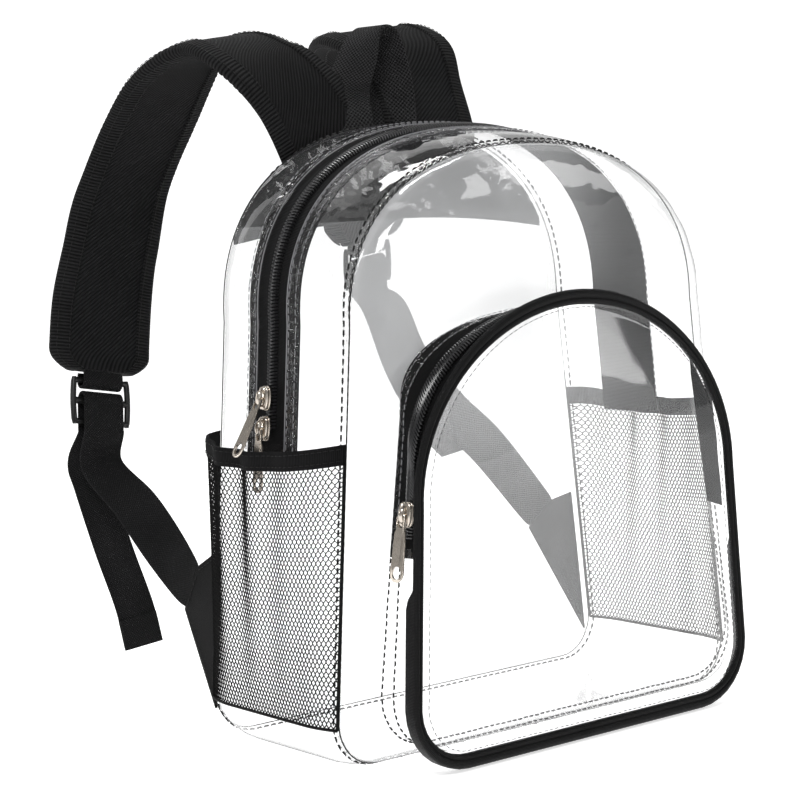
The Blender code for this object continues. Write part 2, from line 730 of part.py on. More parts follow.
def shoulder_strap(word, table):
    """A padded strap; returns the frame at its lower end: x across, y back up it, z outwards."""
    steps = 2
    points = [table_point(row) for row in table]
    for seated in points[:2]:
        seated.y = STRAP_SEAT
    route = smooth_route(points, steps)
    widths = smooth_route([Vector((1.0, row[3], row[4])) for row in table], steps)
    last = len(route) - 1

    def size(share):
        end = max(0.0, 1 - (1 - share) * last / STRAP_END_STEP_COUNT)
        start = min(1.0, STRAP_START_SHARE + max(0.0, share - STRAP_START_END) * STRAP_THICKENING_RATE)
        return STRAP_WIDTH * math.sqrt(1 - STRAP_END_TAPER * end * end), STRAP_THICKNESS * start

    loft("shoulder_strap_" + word, ribbon_sections(route, widths, size, PAD_PROFILE), PAD)
    down = (route[-1] - route[-2]).normalized()
    across = (widths[-1] - down * widths[-1].dot(down)).normalized()
    return frame_matrix(route[-1], across, -down, across.cross(-down))


def ladder_lock(word, place):
    """A flat buckle with two windows; local y points up towards its strap."""
    look = PLASTIC
    name = "ladder_lock_" + word
    frame = block(name, (LOCK_WIDTH, LOCK_LENGTH, LOCK_THICKNESS), place, look)
    bevel = frame.modifiers.new("rounded edges", 'BEVEL')
    bevel.width = LOCK_BEVEL
    bevel.segments = 1
    window = (LOCK_LENGTH - 2 * LOCK_BAR - LOCK_MIDDLE_BAR) / 2
    for side, end in ((1, "upper"), (-1, "lower")):
        offset = side * (LOCK_MIDDLE_BAR + window) / 2
        hole = block(name + "_window_" + end, (LOCK_WIDTH - 2 * LOCK_BAR, window, LOCK_THICKNESS * 3),
                     place @ Matrix.Translation((0, offset, 0)), look)
        combine(frame, hole, 'DIFFERENCE')
    return frame


def wrap_points(bar_y, bar_half, side, clearance):
    """Local (y, z) points round a bar, from its +z side over its edge to its -z side."""
    reach = bar_half + clearance
    face = LOCK_THICKNESS / 2 + clearance
    half = [(-bar_half, face), (bar_half * 0.7, face), (reach, face * 0.45)]
    return [(bar_y + side * y, z) for y, z in half + [(y, -z) for y, z in reversed(half)]]


def flat_ribbon(name, route, across, width, thickness, look):
    widths = [across(i / (len(route) - 1)) for i in range(len(route))]
    sections = ribbon_sections(route, widths, lambda share: (width, thickness), FLAT_PROFILE)
    return loft(name, sections, look)


def keeper_loop(word, strap_end, lock):
    """A short webbing from the strap's end round the buckle's upper bar and back."""
    clearance = WEBBING / 2 + LOCK_SLACK
    bar = LOCK_LENGTH / 2 - LOCK_BAR / 2
    wrap = wrap_points(bar, LOCK_BAR / 2, -1, clearance)
    inner = [lock @ Vector((0, y, z)) for y, z in wrap]
    seat = STRAP_THICKNESS * 0.5 - WEBBING / 2
    top = strap_end @ Vector((0, -GAP - WEBBING / 2, seat))
    bottom = strap_end @ Vector((0, -GAP - WEBBING / 2, -seat))
    across = strap_end.to_3x3().col[0].copy()
    flat_ribbon("keeper_loop_" + word, [top, *inner, bottom], lambda share: across,
                WEBBING_WIDTH, WEBBING, WEB)


def adjusting_webbing(word, lock, run, tail, tip, tip_across, away):
    """One webbing: up from the tab, round the buckle's middle bar and down as a free tail."""
    clearance = WEBBING / 2 + LOCK_SLACK
    wrap = wrap_points(0.0, LOCK_MIDDLE_BAR / 2, 1, clearance)
    bar = [lock @ Vector((0, y, z)) for y, z in wrap]
    below = LOCK_LENGTH / 2 + LOCK_CLEAR_RUN
    front = [lock @ Vector((0, -LOCK_LENGTH / 2, clearance + LOCK_THICKNESS / 2))]
    back = [lock @ Vector((0, -LOCK_LENGTH / 2, -clearance - LOCK_THICKNESS / 2))]
    rising = reversed([table_point(row) for row in run])
    up_leg = smooth_route([tip, tip + away * TAB_LEAD, *rising,
                           lock @ Vector((0, -below, clearance + LOCK_THICKNESS / 2))], 2)
    down_leg = smooth_route([lock @ Vector((0, -below, -clearance - LOCK_THICKNESS / 2)),
                             *[table_point(row) for row in tail]], 2)
    route = up_leg + front + bar + back + down_leg
    lock_across = lock.to_3x3().col[0].copy()
    turn_end = (len(up_leg) - 1) / (len(route) - 1)

    def across(share):
        mix = min(1.0, share / turn_end)
        return tip_across.lerp(lock_across, mix)

    flat_ribbon("adjusting_webbing_" + word, route, across, WEBBING_WIDTH, WEBBING, WEB)


def anchor_tab(side, word, tip_row):
    """A folded triangle of cloth from the back corner seam out to the webbing's end."""
    tip = table_point(tip_row)
    seam_y = SEAM + GAP + FILM + GAP
    foot = Vector((side * (side_x(SEAM, TAB_FOOT_HEIGHT) - TAB), seam_y, TAB_FOOT_HEIGHT))
    head = Vector((side * (side_x(SEAM, TAB_TOP_HEIGHT) - TAB), seam_y, TAB_TOP_HEIGHT))
    middle = (foot + head) / 2
    reach = (tip - middle).normalized() * TAB_REACH
    end = middle + reach
    tip_across = (head - foot).normalized()
    tip_across = (tip_across - reach.normalized() * tip_across.dot(reach.normalized())).normalized()
    low = end - tip_across * TAB_TIP_WIDTH / 2
    high = end + tip_across * TAB_TIP_WIDTH / 2
    out = (head - foot).cross(reach).normalized() * TAB / 2
    sections = []
    for share in (0.0, 1.0):
        lower = foot.lerp(low, share)
        upper = head.lerp(high, share)
        shift = Vector((0, TAB / 2, 0)) if share == 0.0 else Vector()
        sections.append([lower - out + shift, upper - out + shift, upper + out + shift, lower + out + shift])
    loft("anchor_tab_" + word, sections, CLOTH)
    away = reach.normalized()
    return end + away * GAP, tip_across, away


def carry_handle():
    """A webbing loop sewn flat on the yoke, whose legs turn edge on as they rise."""
    foot = BACK_TOP - HANDLE_LAP
    table = (
        # across in half spans, back in webbing widths, up in rises, lean share
        (-1.00, 0.00, 0.00, 0.0),
        (-1.00, 0.00, 0.24, 0.0),
        (-1.02, 0.02, 0.50, 0.2),
        (-0.74, 0.26, 0.86, 0.8),
        (0.00, 0.34, 1.00, 1.0),
        (0.74, 0.26, 0.86, 0.8),
        (1.02, 0.02, 0.50, 0.2),
        (1.00, 0.00, 0.24, 0.0),
        (1.00, 0.00, 0.00, 0.0),
    )
    route = smooth_route([Vector((HANDLE_SHIFT + a * HANDLE_HALF_SPAN + d * HANDLE_LEAN,
                                  HANDLE_SEAT + b * WEBBING_WIDTH, foot + c * HANDLE_RISE))
                          for a, b, c, d in table], 3)

    def across(share):
        turn = min(max((share - HANDLE_TURN_START) / HANDLE_TURN_SPAN, 0.0), 1.0)
        angle = math.pi * turn * turn * (3 - 2 * turn)
        return Vector((math.cos(angle), -math.sin(angle), 0.0))

    flat_ribbon("carry_handle", route, across, WEBBING_WIDTH, HANDLE, WEB)


def back_yoke():
    """Cloth band over the top of the back panel, on its outer side."""
    low = YOKE_BACK - YOKE
    top_points = [(x, z) for x, z in grown(body_outline(SEAM), -FILM)
                  if z > SPRING_HEIGHT + YOKE_DROP and abs(x) < YOKE_HALF_WIDTH]
    top_points.sort(key=lambda point: point[0])
    half = top_points[-1][0]
    sections = []
    for x, z in top_points:
        foot = BACK_TOP - YOKE_DROP - YOKE_BOW * (x / half) ** 2
        sections.append([(x, low, foot), (x, low, z), (x, low + YOKE, z), (x, low + YOKE, foot)])
    loft("back_yoke", sections, CLOTH)


def main():
    for old in list(bpy.data.objects):
        bpy.data.objects.remove(old)
    clear_shell()
    main_zip()
    front_pocket()
    side_pocket(-1, "left")
    side_pocket(1, "right")
    sliders_and_pulls()
    back_yoke()
    carry_handle()
    for side, word, strap, run, tail in ((-1, "left", LEFT_STRAP, LEFT_RUN, LEFT_TAIL),
                                         (1, "right", RIGHT_STRAP, RIGHT_RUN, RIGHT_TAIL)):
        end = shoulder_strap(word, strap)
        lock = end @ Matrix.Translation((0, -STRAP_TO_LOCK - LOCK_LENGTH / 2, 0))
        ladder_lock(word, lock)
        keeper_loop(word, end, lock)
        tip, tip_across, away = anchor_tab(side, word, run[-1])
        adjusting_webbing(word, lock, run, tail, tip, tip_across, away)


main()
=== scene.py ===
import bisect
import functools
import json
import math
import random
import bpy
from mathutils import Matrix, Vector, noise


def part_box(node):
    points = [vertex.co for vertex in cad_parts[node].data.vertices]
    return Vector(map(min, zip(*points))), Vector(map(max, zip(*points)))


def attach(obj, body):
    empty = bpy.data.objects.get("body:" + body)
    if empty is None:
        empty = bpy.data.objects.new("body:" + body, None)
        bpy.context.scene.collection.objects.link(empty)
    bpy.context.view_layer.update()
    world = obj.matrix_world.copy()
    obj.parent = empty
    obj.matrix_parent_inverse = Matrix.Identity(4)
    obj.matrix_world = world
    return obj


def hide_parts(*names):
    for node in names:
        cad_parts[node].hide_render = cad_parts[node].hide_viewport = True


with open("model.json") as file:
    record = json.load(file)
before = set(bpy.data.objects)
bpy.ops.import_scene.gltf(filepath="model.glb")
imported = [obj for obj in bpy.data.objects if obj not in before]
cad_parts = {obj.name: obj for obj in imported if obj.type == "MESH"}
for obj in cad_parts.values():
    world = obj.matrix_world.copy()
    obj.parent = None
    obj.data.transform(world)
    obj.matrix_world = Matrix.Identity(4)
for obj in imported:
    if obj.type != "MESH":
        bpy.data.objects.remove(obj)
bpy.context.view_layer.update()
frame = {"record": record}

random.seed(7)

# Directions: up, to the bag's right seen from the front, and towards the viewer
UP = Vector((0, 0, 1))
RIGHT = Vector((1, 0, 0))
FORWARDS = Vector((0, -1, 0))

# Sizes that the frame gives, in metres
FILM = 0.0010
GAP = 0.0003
front_low, front_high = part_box("front_panel")
back_low, back_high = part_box("back_panel")
SEAM = back_low.y - GAP
FOOT_HALF_WIDTH = front_high.x
FRONT_TOP = front_high.z
BACK_TOP = back_high.z + FILM / 2
FRONT_BULGE = -front_low.y - SEAM - GAP - FILM
NET_TOP_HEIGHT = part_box("net_band_right")[1].z

# Body shell, as in the part
SPRING_HALF_WIDTH = 0.117
SPRING_HEIGHT = 0.218
ARCH_POWER = 2.28
FOOT_CORNER = 0.022
GUSSET_CROWN = 0.004
GUSSET_FLAT = 0.60
FRONT_ROUND = 0.10
FRONT_MIDDLE = 0.65
ZIP_END_HEIGHT = 0.159
ZIP_CENTRE = 0.004
ZIP_OPEN = 0.0250
ZIP_TAPE_WIDTH = 0.0430
ZIP_TAPE = 0.0008
COIL_WIDTH = 0.0062
COIL_HEIGHT = 0.0023
COIL_PITCH = 0.0017
TAPE_SINK = 0.0006
# A tooth of the coil: across in widths, up in heights, ahead in steps
COIL_TOOTH = ((0.50, 0.05, 0.0), (0.46, 0.62, 0.1), (0.20, 1.0, 0.5), (-0.10, 0.88, 1.0))
# Section of the film's hem beside the coil: share of its width, lift
HEM_SECTION = ((0.0, -0.0003), (0.0, 0.0009), (1 / 9, 0.0011), (0.5, 0.0009), (1.0, 0.0007), (1.0, 0.0001))
ZIP_ROW_INSETS = (0.0018, 0.0074)
ZIP_ROW_LIFT = 0.0013

# Front pocket, as in the part
POCKET_BACK_HALF = 0.1205
POCKET_BACK_SPRING_HALF = 0.1005
POCKET_BACK_FOOT = 0.0145
POCKET_BACK_SPRING = 0.179
POCKET_BACK_TOP = 0.2215
POCKET_BACK_POWER = 2.5
POCKET_FACE_HALF = 0.108
POCKET_FACE_SPRING_HALF = 0.102
POCKET_FACE_FOOT = 0.0088
POCKET_FACE_SPRING = 0.1315
POCKET_FACE_TOP = 0.2225
POCKET_FACE_POWER = 1.98
POCKET_CORNER = 0.026
POCKET_DEPTH = 0.020
POCKET_SWELL = 0.007
POCKET_ZIP_END_HEIGHT = 0.112
POCKET_ZIP_SHARE = 0.22
POCKET_COIL_WIDTH = 0.0050
PIPING_WIDTH = 0.0075
PIPING_THICKNESS = 0.0044
PIPING_TUCK = 0.0026
# Section of the piping: out in widths, back in thicknesses
PIPING_SECTION = ((0.00, 0.30), (0.00, -0.20), (0.10, -0.40), (0.26, -0.44), (0.40, -0.26), (0.48, -0.40),
                  (0.68, -0.48), (0.88, -0.36), (1.00, -0.06), (1.00, 0.20), (0.86, 0.40), (0.40, 0.42))
FACE_STITCH_INSET = 0.0016
POCKET_HEM_ROWS = (0.07, 0.20)
POCKET_SEAM_ROWS = (0.07, 0.32)
FLAP_TOP = 0.093
FLAP_EASE = 0.007
FLAP_DEPTH = 0.0052

# Seams of the shell; the thread is hidden in the hem at the front's right side and the back's left
SEAM_INSET = 0.0026
THREAD_LIFT = 0.0008
WELT = 0.0010
SEAM_EDGE = 0.0006
FOLD_REACH_ON_FACE = 0.0045
FOLD_REACH_ON_GUSSET = 0.0050
FOLD_LIFT = 0.0006
FOLD_PUCKER = 0.0013
HIDDEN_BEYOND = 0.085
HIDDEN_ABOVE = 0.060

# Puckered front seam
SEAM_STEP = 0.0012
SEAM_TWIST = 0.0085
SEAM_TWIST_RADIUS = 0.0009
SEAM_STRAND = 0.0007
CALM_FROM = 0.045
CALM_EASE = 0.030

# Net side pockets
NET_FOOT_HEIGHT = 0.024
NET_BULGE = 0.0145
NET_LEAN = 0.35
NET_ACROSS_POWER = 0.45
NET_RISE_POWER = 0.90
NET_SAG = 0.005
NET_BAND_HEIGHT = 0.0100
NET_SEAM_MARGIN = -0.0004
NET_CREASE = 0.0040
NET_PITCH = 0.0025
NET_THREAD = 0.00044
# A strand between two knots: place along it and thickness in threads
NET_STRAND = ((-0.06, 2.1), (0.5, 1.55), (1.06, 2.1))
NET_EDGE = 0.0016
NET_EDGE_LIFT = 0.0004
BAND_ROWS = (0.22, 0.80)
BAND_ROW_LIFT = 0.0016

# Sliders and pulls
SLIDER_LENGTH = 0.0125
SLIDER_WIDTH = 0.0088
SLIDER_BODY = 0.0030
BRIDGE_LENGTH = 0.0090
BRIDGE_WIDTH = 0.0024
BRIDGE_RISE = 0.0039
PULL_LENGTH = 0.0330
PULL_WIDTH = 0.0076
PULL_THICKNESS = 0.0012
MAIN_SLIDER_HEIGHT = 0.1820
LOWER_SLIDER_DROP = 0.0150
POCKET_SLIDER_HEIGHT = 0.1285

# Straps, webbing and handle
STRAP_WIDTH = 0.062
STRAP_THICKNESS = 0.0080
STRAP_REACH = 0.195
STRAP_CREST = 0.366
BINDING_WIDTH = 0.0095
WEBBING_WIDTH = 0.025
WEBBING = 0.0016
LOCK_LENGTH = 0.0270
LOCK_WIDTH = 0.0370
LOCK_THICKNESS = 0.0034
LOCK_BAR = 0.0034
LOCK_MIDDLE_BAR = 0.0050
LOCK_SLACK = 0.0012
LOCK_BOW = 0.0005
LOCK_SWELL = 0.0006
LOCK_CLEAR_RUN = 0.004
STRAP_TO_LOCK = 0.004
TAB_REACH = 0.037
TAB_FOOT_HEIGHT = 0.017
TAB_TOP_HEIGHT = 0.100
TAB = 0.0020
TAB_TIP_WIDTH = 0.0275
TAB_LEAD = 0.0075
HANDLE_HALF_SPAN = 0.0160
HANDLE_SHIFT = -0.0080
HANDLE_RISE = 0.0720
HANDLE_LAP = 0.0160
HANDLE = 0.0020
YOKE_DROP = 0.050
YOKE_BOW = 0.009
YOKE = 0.0016
YOKE_LAP = 0.0125
YOKE_ROWS = (0.003, 0.006)
YOKE_BACK = SEAM + GAP + FILM + GAP + YOKE
HANDLE_SEAT = YOKE_BACK + GAP + HANDLE / 2
STRAP_START_SHARE = 0.35
STRAP_SLACK = 0.0008
STRAP_SEAT = HANDLE_SEAT + HANDLE / 2 + STRAP_SLACK + STRAP_THICKNESS * STRAP_START_SHARE / 2

# Steps in each stretch of an outline
FOOT_STEPS = 10
CORNER_STEPS = 8
LOW_STEPS = 16
HIGH_STEPS = 8
ARCH_STEPS = 30

# Camera, fitted to the seams in the photograph; the image is 800 pixels wide
CAMERA_EYE = Vector((-0.7695, -0.9077, 0.2921))
CAMERA_AIM = Vector((-0.0453, 0.0, 0.1738))
CAMERA_ROLL = -2.372
CAMERA_LENS = 100.83

# Brightness of the room around the white sweep
ROOM_STRENGTH = 0.26

# Heights between which the panels turn from clear to whitened by painted light
PAINTED_LIGHT_FROM_HEIGHT = 0.110
PAINTED_LIGHT_FULL_HEIGHT = 0.190

# Places across the panels between which the haze and its painted light thin out
PAINTED_LIGHT_FULL_LEFT = -0.010
PAINTED_LIGHT_THIN_RIGHT = 0.060

SWEEP_GLOW = 0.62
LAMPS = (
    # name, place, aim, size, power in watts
    ("key", (-1.2, -1.0, 1.7), (0, 0, 0.15), (0.9, 0.6), 24),
    ("fill", (1.5, -1.6, 0.9), (0, 0, 0.15), (0.5, 1.3), 12),
    ("edge", (-1.7, 1.2, 0.9), (0, 0, 0.2), (0.12, 1.4), 8),
    ("top", (0.3, 0.6, 1.8), (0, 0, 0.2), (0.9, 0.3), 14),
)

# How fast painted shade darkens film towards its grazing edge
RIM_POWER = 11.0

# Period of a wave texture at scale 1
WAVE_PERIOD = 2 * math.pi / 20

# Stitches: length, space between them and thread
SHELL_STITCH = (0.0034, 0.0012, 0.0011)
ZIP_STITCH = (0.0030, 0.0010, 0.0005)
HEM_STITCH = (0.0028, 0.0010, 0.0005)
POCKET_STITCH = (0.0028, 0.0010, 0.0010)
FACE_STITCH = (0.0026, 0.0010, 0.0004)
TAB_STITCH = (0.0026, 0.0010, 0.0005)
STRAP_STITCH = (0.0026, 0.0010, 0.00045)
BAND_STITCH = (0.0024, 0.0009, 0.0004)
STITCH_JITTER = 0.15
# Shape of a stitch: place along it, thickness and rise in threads
STITCH_SHAPE = ((0.0, 0.35, -0.1), (0.2, 0.95, 0.35), (0.8, 0.95, 0.35), (1.0, 0.35, -0.1))


# Node materials

def tree_of(name):
    mat = bpy.data.materials.new(name)
    mat.use_nodes = True
    tree = mat.node_tree
    return mat, tree, tree.nodes["Principled BSDF"]


def fill(tree, place, value):
    """Links a socket to an input, or sets the input to a value."""
    if isinstance(value, bpy.types.NodeSocket):
        tree.links.new(value, place)
    else:
        place.default_value = value


def settings(tree, node, **values):
    """Fills inputs by name, with _ for a space."""
    for key, value in values.items():
        fill(tree, node.inputs[key.replace("_", " ")], value)


def add(tree, kind, *inputs, **values):
    """A new node; inputs are filled in order, and values are its properties, or its inputs by name."""
    node = tree.nodes.new("ShaderNode" + kind)
    for key in [key for key in values if hasattr(node, key)]:
        setattr(node, key, values.pop(key))
    settings(tree, node, **values)
    for place, value in zip(node.inputs, inputs):
        fill(tree, place, value)
    return node


def maths(tree, operation, first, second):
    """A Math node; each operand is a socket or a number."""
    return add(tree, "Math", first, second, operation=operation).outputs[0]


def surface_millimetres(tree):
    """The piece's own surface coordinates, stored in its UV map in millimetres."""
    return add(tree, "TexCoord").outputs["UV"]


def bands(tree, coord, pitch, direction):
    """Even ridges of a pitch in millimetres along X, Y or DIAGONAL."""
    return add(tree, "TexWave", wave_type='BANDS', bands_direction=direction, Vector=coord,
               Scale=WAVE_PERIOD / pitch, Distortion=0.0).outputs["Fac"]


def noise_of(tree, coord, scale, detail=3.0, roughness=0.55):
    """Cloudy variation over a set of coordinates."""
    return add(tree, "TexNoise", Vector=coord, Scale=scale, Detail=detail, Roughness=roughness).outputs["Fac"]


def object_coordinates(tree):
    return add(tree, "TexCoord").outputs["Object"]


def bump(tree, height, shader, strength, distance):
    node = add(tree, "Bump", Strength=strength, Distance=distance, Height=height)
    settings(tree, shader, Normal=node.outputs["Normal"])
    return node


def shade_between(tree, factor, dark, light, shader):
    ramp = add(tree, "ValToRGB", Fac=factor)
    for stop, colour, place in zip(ramp.color_ramp.elements, (dark, light), (0.25, 0.85)):
        stop.color = (*colour, 1)
        stop.position = place
    settings(tree, shader, Base_Color=ramp.outputs["Color"])


def woven(name, kind, pitch, dark, light, roughness=0.82, depth=0.0004):
    """Woven black cloth: twill, basket, ribbed or plain, with ridges of a pitch in millimetres; the ridges
    carry a painted highlight and the hollows between them painted shade.
    """
    mat, tree, shader = tree_of(name)
    coord = surface_millimetres(tree)
    if kind == "twill":
        height = bands(tree, coord, pitch, 'DIAGONAL')
    elif kind == "ribbed":
        height = bands(tree, coord, pitch, 'Y')
    else:
        height = maths(tree, 'MULTIPLY', bands(tree, coord, pitch, 'X'), bands(tree, coord, pitch, 'Y'))
        if kind == "basket":
            turned = maths(tree, 'SUBTRACT', 1.0, bands(tree, coord, pitch, 'X'))
            other = maths(tree, 'SUBTRACT', 1.0, bands(tree, coord, pitch, 'Y'))
            height = maths(tree, 'ADD', height, maths(tree, 'MULTIPLY', turned, other))
    fuzz = noise_of(tree, coord, 2.2, 4.0)
    height = maths(tree, 'ADD', height, maths(tree, 'MULTIPLY', fuzz, 0.5))
    # Painted highlight and shade: the ridges get the light colour and the hollows the dark one, in large
    # patches of random strength
    highlight_patches = noise_of(tree, coord, 0.03, 2.0)
    painted_ridge_highlight = maths(tree, 'MULTIPLY', height, maths(tree, 'ADD', highlight_patches, 0.35))
    shade_between(tree, painted_ridge_highlight, dark, light, shader)
    bump(tree, height, shader, 0.9, depth)
    settings(tree, shader, Roughness=roughness, Specular_IOR_Level=0.12)
    return mat


def by_place(tree, coord, axis, low, high, at_low, at_high):
    """A value that changes smoothly between two places along an axis of the piece."""
    place = add(tree, "SeparateXYZ", coord)
    return add(tree, "MapRange", interpolation_type='SMOOTHSTEP', Value=place.outputs[axis],
               From_Min=low, From_Max=high, To_Min=at_low, To_Max=at_high).outputs[0]


def film(name, haze, crinkle, scale=70.0, rim=0.75, mirror=0.045, arch=0.0, haze_below_painted_light=None,
         haze_and_light_right_share=1.0, rim_power=RIM_POWER):
    """Clear film: haze whitens what lies behind, crinkle wrinkles its gloss, arch adds more up high. Given a
    low haze, the film is painted whiter up high and on the left as painted light.
    """
    mat, tree, shader = tree_of(name)
    settings(tree, shader, Base_Color=(0.96, 0.97, 0.98, 1), Roughness=0.06, Specular_IOR_Level=0.0,
             Alpha=haze)
    coord = object_coordinates(tree)
    height = noise_of(tree, coord, scale, 2.0, 0.4)
    if arch:
        rise = by_place(tree, coord, "Z", SPRING_HEIGHT, FRONT_TOP, 1.0, arch)
        height = maths(tree, 'MULTIPLY', height, rise)
    if haze_below_painted_light is not None:
        # Painted light: the film's haze is made whiter up high and on the left, and thinner to the right
        rising = by_place(tree, coord, "Z", PAINTED_LIGHT_FROM_HEIGHT, PAINTED_LIGHT_FULL_HEIGHT, haze_below_painted_light, haze)
        across = by_place(tree, coord, "X", PAINTED_LIGHT_FULL_LEFT, PAINTED_LIGHT_THIN_RIGHT, 1.0, haze_and_light_right_share)
        settings(tree, shader, Alpha=maths(tree, 'MULTIPLY', rising, across))
    shine = add(tree, "BsdfGlossy", Roughness=0.045, Color=(1, 1, 1, 1))
    folded = bump(tree, height, shine, crinkle, 0.004)
    grazing = add(tree, "LayerWeight", Blend=0.5, Normal=folded.outputs["Normal"])
    slanted = maths(tree, 'POWER', grazing.outputs["Facing"], 5.0)
    mirrored = maths(tree, 'ADD', maths(tree, 'MULTIPLY', slanted, 0.95), mirror)
    shiny = add(tree, "MixShader", mirrored, shader.outputs[0], shine.outputs[0])
    # Painted shade: a dark diffuse is mixed in where the film turns away from view, which draws dark lines
    # along its grazing edges
    turned = add(tree, "LayerWeight", Blend=0.5)
    edge = maths(tree, 'MULTIPLY', maths(tree, 'POWER', turned.outputs["Facing"], rim_power), rim)
    dark = add(tree, "BsdfDiffuse", Color=(0.06, 0.06, 0.065, 1))
    rimmed = add(tree, "MixShader", edge, shiny.outputs[0], dark.outputs[0])
    settings(tree, tree.nodes["Material Output"], Surface=rimmed.outputs[0])
    return mat


def moulded(name, colour, roughness, scale, depth, metallic=0.0, specular=0.5):
    """Plastic, nylon or metal with a fine grain, and scuffs that change its gloss."""
    mat, tree, shader = tree_of(name)
    coord = object_coordinates(tree)
    grain = noise_of(tree, coord, scale, 3.0)
    scuffs = noise_of(tree, coord, scale / 9, 5.0, 0.7)
    rough = add(tree, "MapRange", Value=scuffs, To_Min=roughness * 0.75, To_Max=roughness * 1.3)
    dark, light = tuple(c * 0.85 for c in colour), tuple(min(1, c * 1.1) for c in colour)
    shade_between(tree, scuffs, dark, light, shader)
    bump(tree, grain, shader, 0.25, depth)
    settings(tree, shader, Roughness=rough.outputs[0], Metallic=metallic, Specular_IOR_Level=specular)
    return mat


BLACK = (0.0012, 0.0012, 0.0013)
TWILL_RIDGE_HIGHLIGHT = (0.011, 0.011, 0.0115)
# In each woven look the dark colour fills the weave's hollows as painted shade and the light colour its
# ridges as painted highlight
LOOKS = {
    "side film": film("side film", 0.004, 0.06, 55.0, rim=0.95, arch=5.0),
    "front film": film("front film", 0.28, 0.10, 30.0, 0.97, arch=4.0, haze_below_painted_light=0.07, haze_and_light_right_share=0.3,
                       rim_power=7.0),
    "back film": film("back film", 0.17, 0.05, 20.0, haze_below_painted_light=0.05, haze_and_light_right_share=0.5),
    "pocket film": film("pocket film", 0.03, 0.08, 18.0),
    "hem film": film("hem film", 0.0, 1.0, 170.0, 0.2, mirror=0.022),
    "fold film": film("fold film", 0.05, 0.8, 240.0, 0.9),
    "twill": woven("strap twill", "twill", 1.35, BLACK, TWILL_RIDGE_HIGHLIGHT),
    "webbing": woven("webbing weave", "basket", 1.7, BLACK, (0.013, 0.013, 0.0135), depth=0.0006),
    "handle": woven("handle weave", "basket", 2.3, BLACK, (0.034, 0.034, 0.035), depth=0.0010),
    "binding": woven("binding ribs", "ribbed", 1.9, BLACK, (0.016, 0.016, 0.0165), depth=0.0007),
    "cloth": woven("plain cloth", "plain", 0.9, BLACK, (0.008, 0.008, 0.0085), 0.7),
    "tape": woven("zip tape weave", "ribbed", 0.8, BLACK, (0.008, 0.008, 0.0085), 0.75, 0.0002),
    "piping": woven("piping cloth", "plain", 0.7, BLACK, (0.006, 0.006, 0.0065), 0.42, 0.0002),
    "net": woven("net yarn", "plain", 0.5, BLACK, (0.010, 0.010, 0.0105), 0.6),
    "laminate": moulded("coated cloth", (0.0025, 0.0025, 0.0027), 0.30, 130.0, 0.0030, 0.0, 0.22),
    "thread": moulded("thread", (0.006, 0.006, 0.006), 0.5, 900.0, 0.0002, 0.0, 0.2),
    "clear thread": moulded("clear thread", (0.22, 0.22, 0.23), 0.4, 900.0, 0.0002, 0.0, 0.3),
    "coil": moulded("coil nylon", (0.010, 0.010, 0.011), 0.28, 700.0, 0.0001, 0.0, 0.7),
    "elastic": woven("elastic band", "ribbed", 0.9, BLACK, (0.007, 0.007, 0.0075), 0.8, 0.0002),
    "plastic": moulded("moulded plastic", (0.004, 0.004, 0.004), 0.38, 1400.0, 0.0002, 0.0, 0.35),
    "nickel": moulded("nickel plate", (0.62, 0.56, 0.49), 0.24, 500.0, 0.0001, 1.0),
}


# Meshes

def linked(name, data):
    """A new object of some data, linked into the scene."""
    made = bpy.data.objects.new(name, data)
    bpy.context.scene.collection.objects.link(made)
    return made


class Pieces:
    """Collects closed tubes and strips into one mesh, with surface coordinates in millimetres."""

    def __init__(self):
        self.points, self.faces, self.places = [], [], []

    def lay(self, rows, wrap, closed, measured_at, across_first):
        """Points through the rows and faces between them; returns the first and the last row's start."""
        start, count, length = len(self.points), len(rows[0]), 0.0
        for i, row in enumerate(rows):
            if i:
                length += (row[measured_at] - rows[i - 1][measured_at]).length
            across = 0.0
            for j, point in enumerate(row):
                if j:
                    across += (point - row[j - 1]).length
                self.points.append(point)
                place = (across, length) if across_first else (length, across)
                self.places.append((place[0] * 1000, place[1] * 1000))
        for i in range(len(rows) if closed else len(rows) - 1):
            here, there = start + i * count, start + (i + 1) % len(rows) * count
            for j in range(count if wrap else count - 1):
                k = (j + 1) % count
                self.faces.append((here + j, here + k, there + k, there + j))
        return start, start + (len(rows) - 1) * count

    def tube(self, rings, closed=False):
        """A skin over rings of points; open ends are capped."""
        first, last = self.lay(rings, True, closed, 0, True)
        if not closed:
            count = len(rings[0])
            self.faces.append(tuple(first + j for j in reversed(range(count))))
            self.faces.append(tuple(last + j for j in range(count)))
        return self

    def grid(self, rows, wrap=False, hub=None):
        """An open sheet through rows of points; hub closes the last row."""
        count = len(rows[0])
        _, last = self.lay(rows, wrap, False, count // 2, False)
        if hub is not None:
            centre = len(self.points)
            self.points.append(Vector(hub))
            self.places.append((0.0, 0.0))
            for j in range(count):
                self.faces.append((last + j, last + (j + 1) % count, centre))
        return self

    def mesh(self, name):
        mesh = bpy.data.meshes.new(name)
        mesh.from_pydata(self.points, [], self.faces)
        mesh.update()
        return mesh

    def make(self, name, look, slot, *replaced, body="bag", sharp=40.0):
        """The collected pieces as one object: its look, material slot, replaced nodes and body; the material
        slot is not used.
        """
        mesh = self.mesh(name)
        layer = mesh.uv_layers.new(name="surface")
        for loop in mesh.loops:
            layer.data[loop.index].uv = self.places[loop.vertex_index]
        mesh.shade_smooth()
        mesh.set_sharp_from_angle(angle=math.radians(sharp))
        mesh.materials.append(LOOKS[look])
        piece = linked(name, mesh)
        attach(piece, body)
        if replaced:
            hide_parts(*replaced)
        return piece


